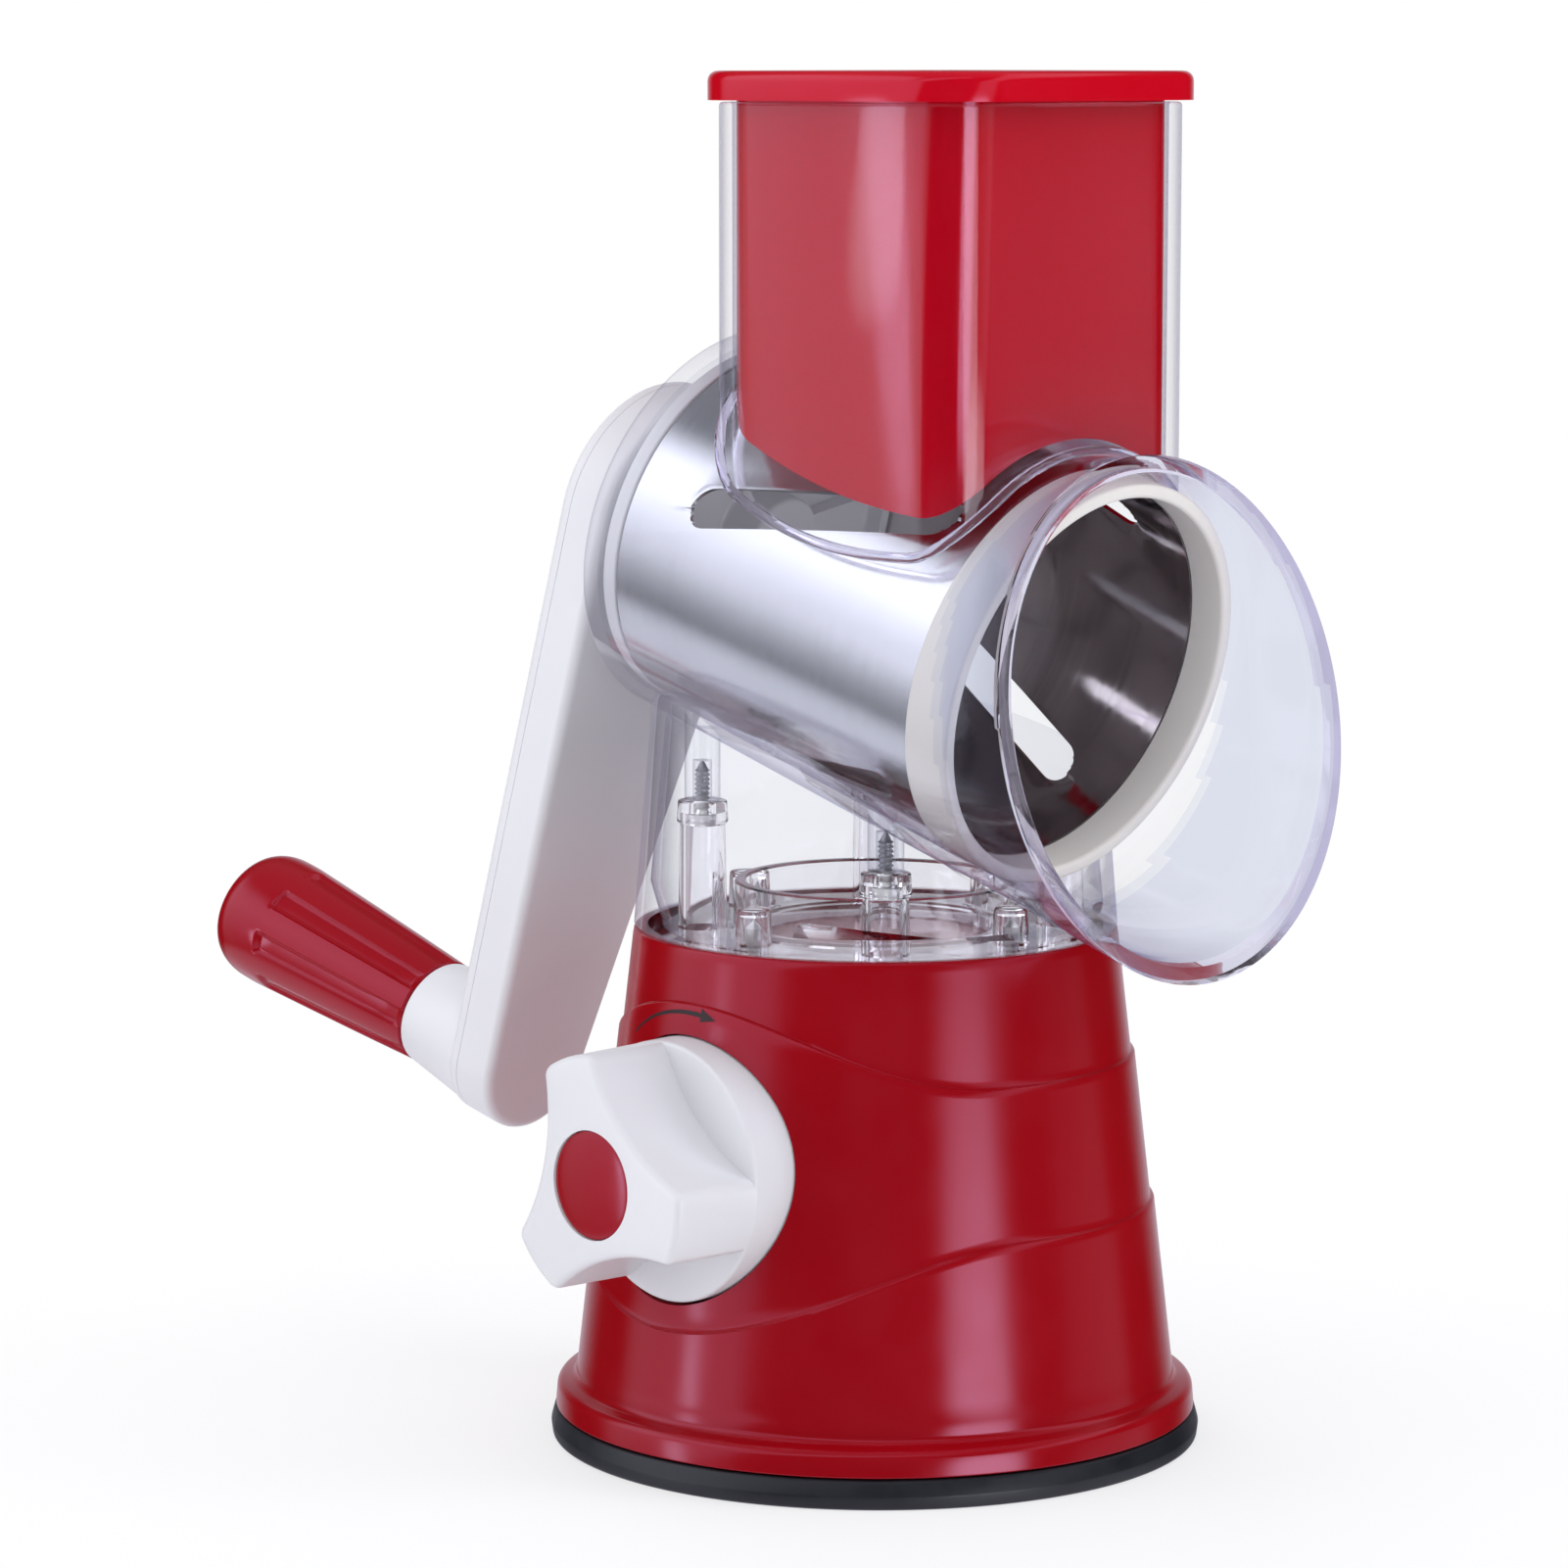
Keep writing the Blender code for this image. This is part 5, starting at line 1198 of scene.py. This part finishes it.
def makeDrum():
    # A flat sheet slanted like the slots, with the slots taken out, is rolled up and thickened
    around = 2 * pi * drum["backRadius"]
    pitch = around / drum["slots"]
    half = drum["slotWidth"] / 2
    columns = [-half - 1.2 * mm + drum["across"] * i for i in range(23)]
    span = (pitch + columns[0] - columns[-1]) / 15
    columns += [columns[-1] + span * i for i in range(1, 15)]
    rows = [drum["back"] + drum["plain"] * i for i in range(6)]
    rows += [drum["slotStart"] - 0.4 * mm + drum["fine"] * i for i in range(11)]
    rows += [drum["slotStart"] + 4.6 * mm + drum["coarse"] * i for i in range(1, 22)]
    rows += [drum["slotEnd"] - 4.1 * mm + drum["fine"] * i for i in range(11)]
    last = drum["slotEnd"] + 1.4 * mm
    rows += [last + (drum["front"] - drum["slotEnd"] - 1.4 * mm) * i / 5 for i in range(6)]
    shape = bmesh.new()
    count = len(columns) * drum["slots"]
    bmesh.ops.create_grid(shape, x_segments=count, y_segments=len(rows) - 1, size=1)
    slotHole = shape.verts.layers.float.new("slotHole")
    for vertex in shape.verts:
        column = round((vertex.co.x + 1) / 2 * count)
        row = round((vertex.co.y + 1) / 2 * (len(rows) - 1))
        slot, place = divmod(column, len(columns))
        offset, reach = columns[place], rows[row]
        # how far the point is outside the slot's outline, which has round ends
        low, high = drum["slotStart"] + half, drum["slotEnd"] - half
        nearest = Vector((0, min(max(reach, low), high)))
        away = Vector((offset, reach)) - nearest
        outside = away.length - half
        if abs(outside) < 0.27 * mm and away.length > 0:
            away *= half / away.length
            offset, reach = nearest.x + away.x, nearest.y + away.y
            outside = 0.0
        vertex[slotHole] = outside
        turn = drum["slotTurn"] + 2 * pi / drum["slots"] * slot + offset / drum["backRadius"]
        turn -= drum["slotTwist"] * (reach - drum["slotStart"]) / (drum["slotEnd"] - drum["slotStart"])
        edge = drum["lip"] * exp(-((outside / (1.6 * mm)) ** 2)) if offset < 0 else 0.0
        radius = drumRadius(reach) + edge
        vertex.co = (*polar(radius, turn), reach)
    opened = [face for face in shape.faces if sum(vertex[slotHole] for vertex in face.verts) < -0.1 * mm]
    bmesh.ops.delete(shape, geom=opened, context="FACES")
    bmesh.ops.remove_doubles(shape, verts=shape.verts, dist=0.01 * mm)
    bmesh.ops.recalc_face_normals(shape, faces=shape.faces)

    def outwardness(face):
        return face.normal.dot(Vector((*face.calc_center_median().xy, 0)).normalized())

    if sum(outwardness(face) for face in shape.faces) < 0:
        bmesh.ops.reverse_faces(shape, faces=shape.faces)
    bmesh.ops.solidify(shape, geom=shape.faces, thickness=drum["steel"])
    bmesh.ops.recalc_face_normals(shape, faces=shape.faces)
    # Faces that look inwards take the darker, reddish steel copy, which is painted shade and painted red
    # reflection
    for face in shape.faces:
        face.material_index = int(outwardness(face) < -0.3)
    shape = moved(shape, barrelFrame)
    sleeve = finished("steel_drum_sleeve", shape, drumSteel, "drum", ["drum_shell"], 30)
    sleeve.data.materials.append(drumShadedInside)


def makeDrumRing():
    ring = turnedShape(softCorners([
        (38.95 * mm, 36.3 * mm, 0.7 * mm), (38.75 * mm, 25.8 * mm, 0.5 * mm),
        (37.3 * mm, 25.8 * mm, 0.1 * mm), (37.3 * mm, 28.6 * mm, 0),
        (36.2 * mm, 28.6 * mm, 0.1 * mm), (36.2 * mm, 36.3 * mm, 0.9 * mm),
    ], closed=True), 200, closed=True)
    ring = moved(ring, barrelFrame)
    finished("ivory_drum_ring", ring, ivoryPlastic, "drum", ["drum_front_ring"])


def makeHub():
    profile = softCorners([
        (0, -43.8 * mm, 0), (9.0 * mm, -43.8 * mm, 0.8 * mm), (9.3 * mm, -52.2 * mm, 1.0 * mm),
        (32.2 * mm, -52.2 * mm, 1.0 * mm), (32.2 * mm, -48.0 * mm, 0.5 * mm),
        (34.3 * mm, -48.0 * mm, 0.5 * mm), (34.3 * mm, -53.4 * mm, 0),
        (35.9 * mm, -53.4 * mm, 0.4 * mm), (35.9 * mm, -56.6 * mm, 0.4 * mm), (0, -56.6 * mm, 0),
    ])
    hub = turnedShape(profile, 160)
    for i in range(6):
        rib = block(8.5 * mm, 32.8 * mm, 0.8 * mm, -53.5 * mm, -48.6 * mm)
        hub = combined(hub, moved(rib, Matrix.Rotation(pi / 3 * i + 0.2, 4, "Z")), "UNION")
    hexagon = rod(6.93 * mm, -60 * mm, -45.9 * mm, 6)
    hub = combined(hub, hexagon)
    finished("white_drum_hub", moved(hub, barrelFrame), whitePlastic, "drum", ["drum_hub"])


makeDrum()
makeDrumRing()
makeHub()
print("drum made")


# Crank

arm = {
    "hub": (-0.5 * mm, -3.0 * mm),
    "end": (-12.3 * mm, -119.3 * mm),
    "hubRadius": 24.0 * mm,
    "endRadius": 13.4 * mm,
    "front": -68.6 * mm,
    "back": -81.2 * mm,
    "split": -78.05 * mm,
    "seam": 0.05 * mm,
    "edge": 2.0 * mm,
    "square": 5.8 * mm,
    "socketEnd": -97.9 * mm,
    "wall": 2.4 * mm,
    "face": 2.6 * mm,
}


def armOutline(inset=0.0, steps=32):
    hub, end = Vector(arm["hub"]), Vector(arm["end"])
    span = end - hub
    heading = atan2(span.y, span.x)
    half = acos((arm["hubRadius"] - arm["endRadius"]) / span.length)
    outline = []
    for middle, radius, first, sweep in (
        (end, arm["endRadius"], heading - half, 2 * half),
        (hub, arm["hubRadius"], heading + half, 2 * (pi - half)),
    ):
        for i in range(steps + 1):
            angle = first + sweep * i / steps
            outline.append(tuple(middle + (radius - inset) * Vector((cos(angle), sin(angle)))))
    return outline


def makeArm():
    tray = flatShape(armOutline(), arm["split"] + arm["seam"], arm["front"])
    tray = softened(tray, arm["edge"], 5, 60, allAbove(arm["front"] - 0.1 * mm))
    tray = combined(tray, flatShape(armOutline(arm["wall"]), arm["back"], arm["front"] - arm["face"]))
    tray = combined(tray, block(-arm["square"], arm["square"], arm["square"], arm["back"], arm["front"] + mm))
    tray = moved(tray, barrelFrame)
    finished("white_crank_arm", tray, whitePlastic, "crank", ["crank_arm"], 30)
    cover = flatShape(armOutline(), arm["back"], arm["split"] - arm["seam"])
    backEdge = arm["back"] + 0.1 * mm
    cover = softened(cover, arm["edge"], 5, 60, lambda edge: all(v.co.z < backEdge for v in edge.verts))
    cover = moved(cover, barrelFrame)
    socket = turnedShape(softCorners([
        (0, arm["back"] + 1.5 * mm, 0), (12.8 * mm, arm["back"] + 1.5 * mm, 0),
        (12.7 * mm, arm["back"] - 0.8 * mm, 1.0 * mm), (10.9 * mm, arm["socketEnd"], 0.6 * mm),
        (0, arm["socketEnd"], 0),
    ], 5), 128)
    cover = combined(cover, moved(socket, handleFrame), "UNION")
    cover = bored(cover, handleFrame, grip["bore"], -99 * mm, -77 * mm, 48)
    finished("white_arm_cover", cover, whitePlastic, "crank", ["crank_cover"], 30)


grip = {
    "near": -98.2 * mm,
    "far": -156.7 * mm,
    "nearRadius": 10.9 * mm,
    "farRadius": 13.6 * mm,
    "flutes": 8,
    "fluteDepth": 0.9 * mm,
    "capRadius": 11.0 * mm,
    "capDepth": 6.0 * mm,
    "capGap": 0.3 * mm,
    "bore": 3.5 * mm,
    "screwHole": 3.4 * mm,
    "screwDepth": 9.7 * mm,
    "swellEnd": 0.86,
    "flutesEnd": (0.758, 0.787),
}


def gripRadius(share):
    swell = min(1.0, share / grip["swellEnd"]) ** 0.9
    return grip["nearRadius"] + (grip["farRadius"] - grip["nearRadius"]) * swell


def gripRing(share, radius=None, reach=None):
    bodyEnd = grip["far"] + grip["capDepth"] * 0.55
    at = grip["near"] + (bodyEnd - grip["near"]) * share if reach is None else reach
    base = gripRadius(share) if radius is None else radius
    fade = easeStep(share, 0.0, 0.03) * (1 - easeStep(share, *grip["flutesEnd"])) if radius is None else 0.0

    def ring(turn):
        wave = cos(2 * pi * turn * grip["flutes"])
        dent = grip["fluteDepth"] * fade * easeStep(wave, 0.05, 0.4)
        return handleFrame @ Vector((*polar(base - dent, 2 * pi * turn), at))

    return ring


def makeGrip():
    shares = [0.008, 0.02, 0.04] + [i / 10 for i in range(1, 8)]
    shares += [0.755, 0.763, 0.772, 0.782, 0.79, 0.82, 0.86, 0.9]
    rings = [gripRing(0.0, grip["nearRadius"] - 0.5 * mm, grip["near"])]
    rings += [gripRing(share) for share in shares]
    bodyEnd = grip["far"] + grip["capDepth"] * 0.36
    turnStart = grip["far"] + 7.8 * mm
    opening = grip["capRadius"] + grip["capGap"]
    for i in range(1, 8):
        angle = pi / 2 * i / 8
        radius = opening + (grip["farRadius"] - opening) * cos(angle)
        rings.append(gripRing(1.0, radius, turnStart + (bodyEnd - turnStart) * sin(angle)))
    shape = ringedShape(192, rings)
    far = grip["far"]
    shape = bored(shape, handleFrame, grip["bore"], far - mm, grip["near"] + mm, 48)
    shape = bored(shape, handleFrame, opening, far - mm, far + grip["capDepth"], 128)
    # This one lies inside the bore and only clears slivers
    shape = bored(shape, handleFrame, grip["screwHole"], far, far + grip["screwDepth"], 48)
    finished("red_grip_sleeve", shape, redPlastic, "handle", ["crank_grip"], 40)
    capFoot = far + grip["capDepth"] - grip["capGap"]
    dome = [(0, capFoot), (grip["capRadius"], capFoot)]
    edgeReach = far + 2.5 * mm
    for i in range(9):
        angle = pi / 2 * i / 8
        dome.append((grip["capRadius"] * cos(angle), edgeReach - 2.15 * mm * sin(angle)))
    cap = moved(turnedShape(dome, 128), handleFrame)
    finished("red_grip_end", cap, redPlastic, "handle", ["grip_end_cap"])


makeArm()
makeGrip()
print("crank made")


# Small steel

screw = {"turns": 9, "core": 1.05 * mm, "thread": 1.48 * mm}


def makePostScrews():
    for i, (x, y, collarTop) in enumerate(posts):
        low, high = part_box(f"housing_screw_{i + 1}")
        headTop = low.z + 1.9 * mm
        profile = [(0, high.z), (0.35 * mm, high.z), (1.1 * mm, high.z - 1.4 * mm)]
        pitch = (high.z - 1.4 * mm - headTop - 0.6 * mm) / screw["turns"]
        for j in range(screw["turns"]):
            base = high.z - 1.4 * mm - pitch * j
            profile += [(screw["thread"], base - 0.30 * pitch), (screw["core"], base - 0.75 * pitch)]
        profile += softCorners([
            (1.3 * mm, headTop + 0.3 * mm, 0), (1.4 * mm, headTop, 0),
            (2.75 * mm, headTop, 0.2 * mm), (2.5 * mm, low.z, 0.5 * mm), (0, low.z, 0),
        ])
        shape = turnedShape(profile, 40)
        for turn in (0, pi / 2):
            cross = block(-1.5 * mm, 1.5 * mm, 0.35 * mm, low.z - mm, low.z + 1.1 * mm)
            shape = combined(shape, moved(cross, Matrix.Rotation(turn + 0.4, 4, "Z")))
        shape = moved(shape, Matrix.Translation((x * mm, y * mm, 0)))
        name = f"steel_post_screw_{i + 1}"
        finished(name, shape, screwSteel, "base", [f"housing_screw_{i + 1}"])


makePostScrews()
print("screws made")


# The turn arrow over the knob

arrow = {
    "radius": 29.2 * mm,
    "first": radians(128),
    "last": radians(84),
    "width": 0.9 * mm,
    "head": 2.5 * mm,
    "lift": 0.06 * mm,
}


def onShell(across, up):
    # From a place on the knob's face plane to the cone behind it
    height = knobHeight + up
    proud = shell["step"] if lowerWave(knobBearing) < height else 2 * shell["step"]
    radius = coneRadius(height) + proud
    for step in range(3):
        proud = 0.0 if height > upperWave(knobBearing + across / radius) else shell["step"]
        radius = coneRadius(height) + proud
    return Vector((*polar(radius, knobBearing + asin(across / radius)), height))


def makeArrow():
    shape = bmesh.new()
    steps = 20
    bmesh.ops.create_grid(shape, x_segments=steps, y_segments=1, size=1)
    for vertex in shape.verts:
        share = (vertex.co.x + 1) / 2
        angle = arrow["first"] + (arrow["last"] - arrow["first"]) * share
        thick = arrow["width"] * (0.35 + 0.65 * share)
        radius = arrow["radius"] + vertex.co.y * thick / 2
        vertex.co = onShell(*polar(radius, angle))
    corners = [polar(arrow["radius"], arrow["last"] - arrow["head"] * 1.5 / arrow["radius"])]
    corners += [polar(arrow["radius"] + way * arrow["head"] / 2, arrow["last"]) for way in (1, -1)]
    shape.faces.new([shape.verts.new(onShell(across, up)) for across, up in corners])
    for face in shape.faces:
        face.normal_update()
        if face.normal.dot(-knobIn) < 0:
            face.normal_flip()
    for vertex in shape.verts:
        vertex.co -= knobIn * arrow["lift"]
    bmesh.ops.solidify(shape, geom=shape.faces, thickness=arrow["lift"])
    bmesh.ops.recalc_face_normals(shape, faces=shape.faces)
    finished("turn_arrow_mark", shape, markInk, "base")


makeArrow()
print("arrow made")
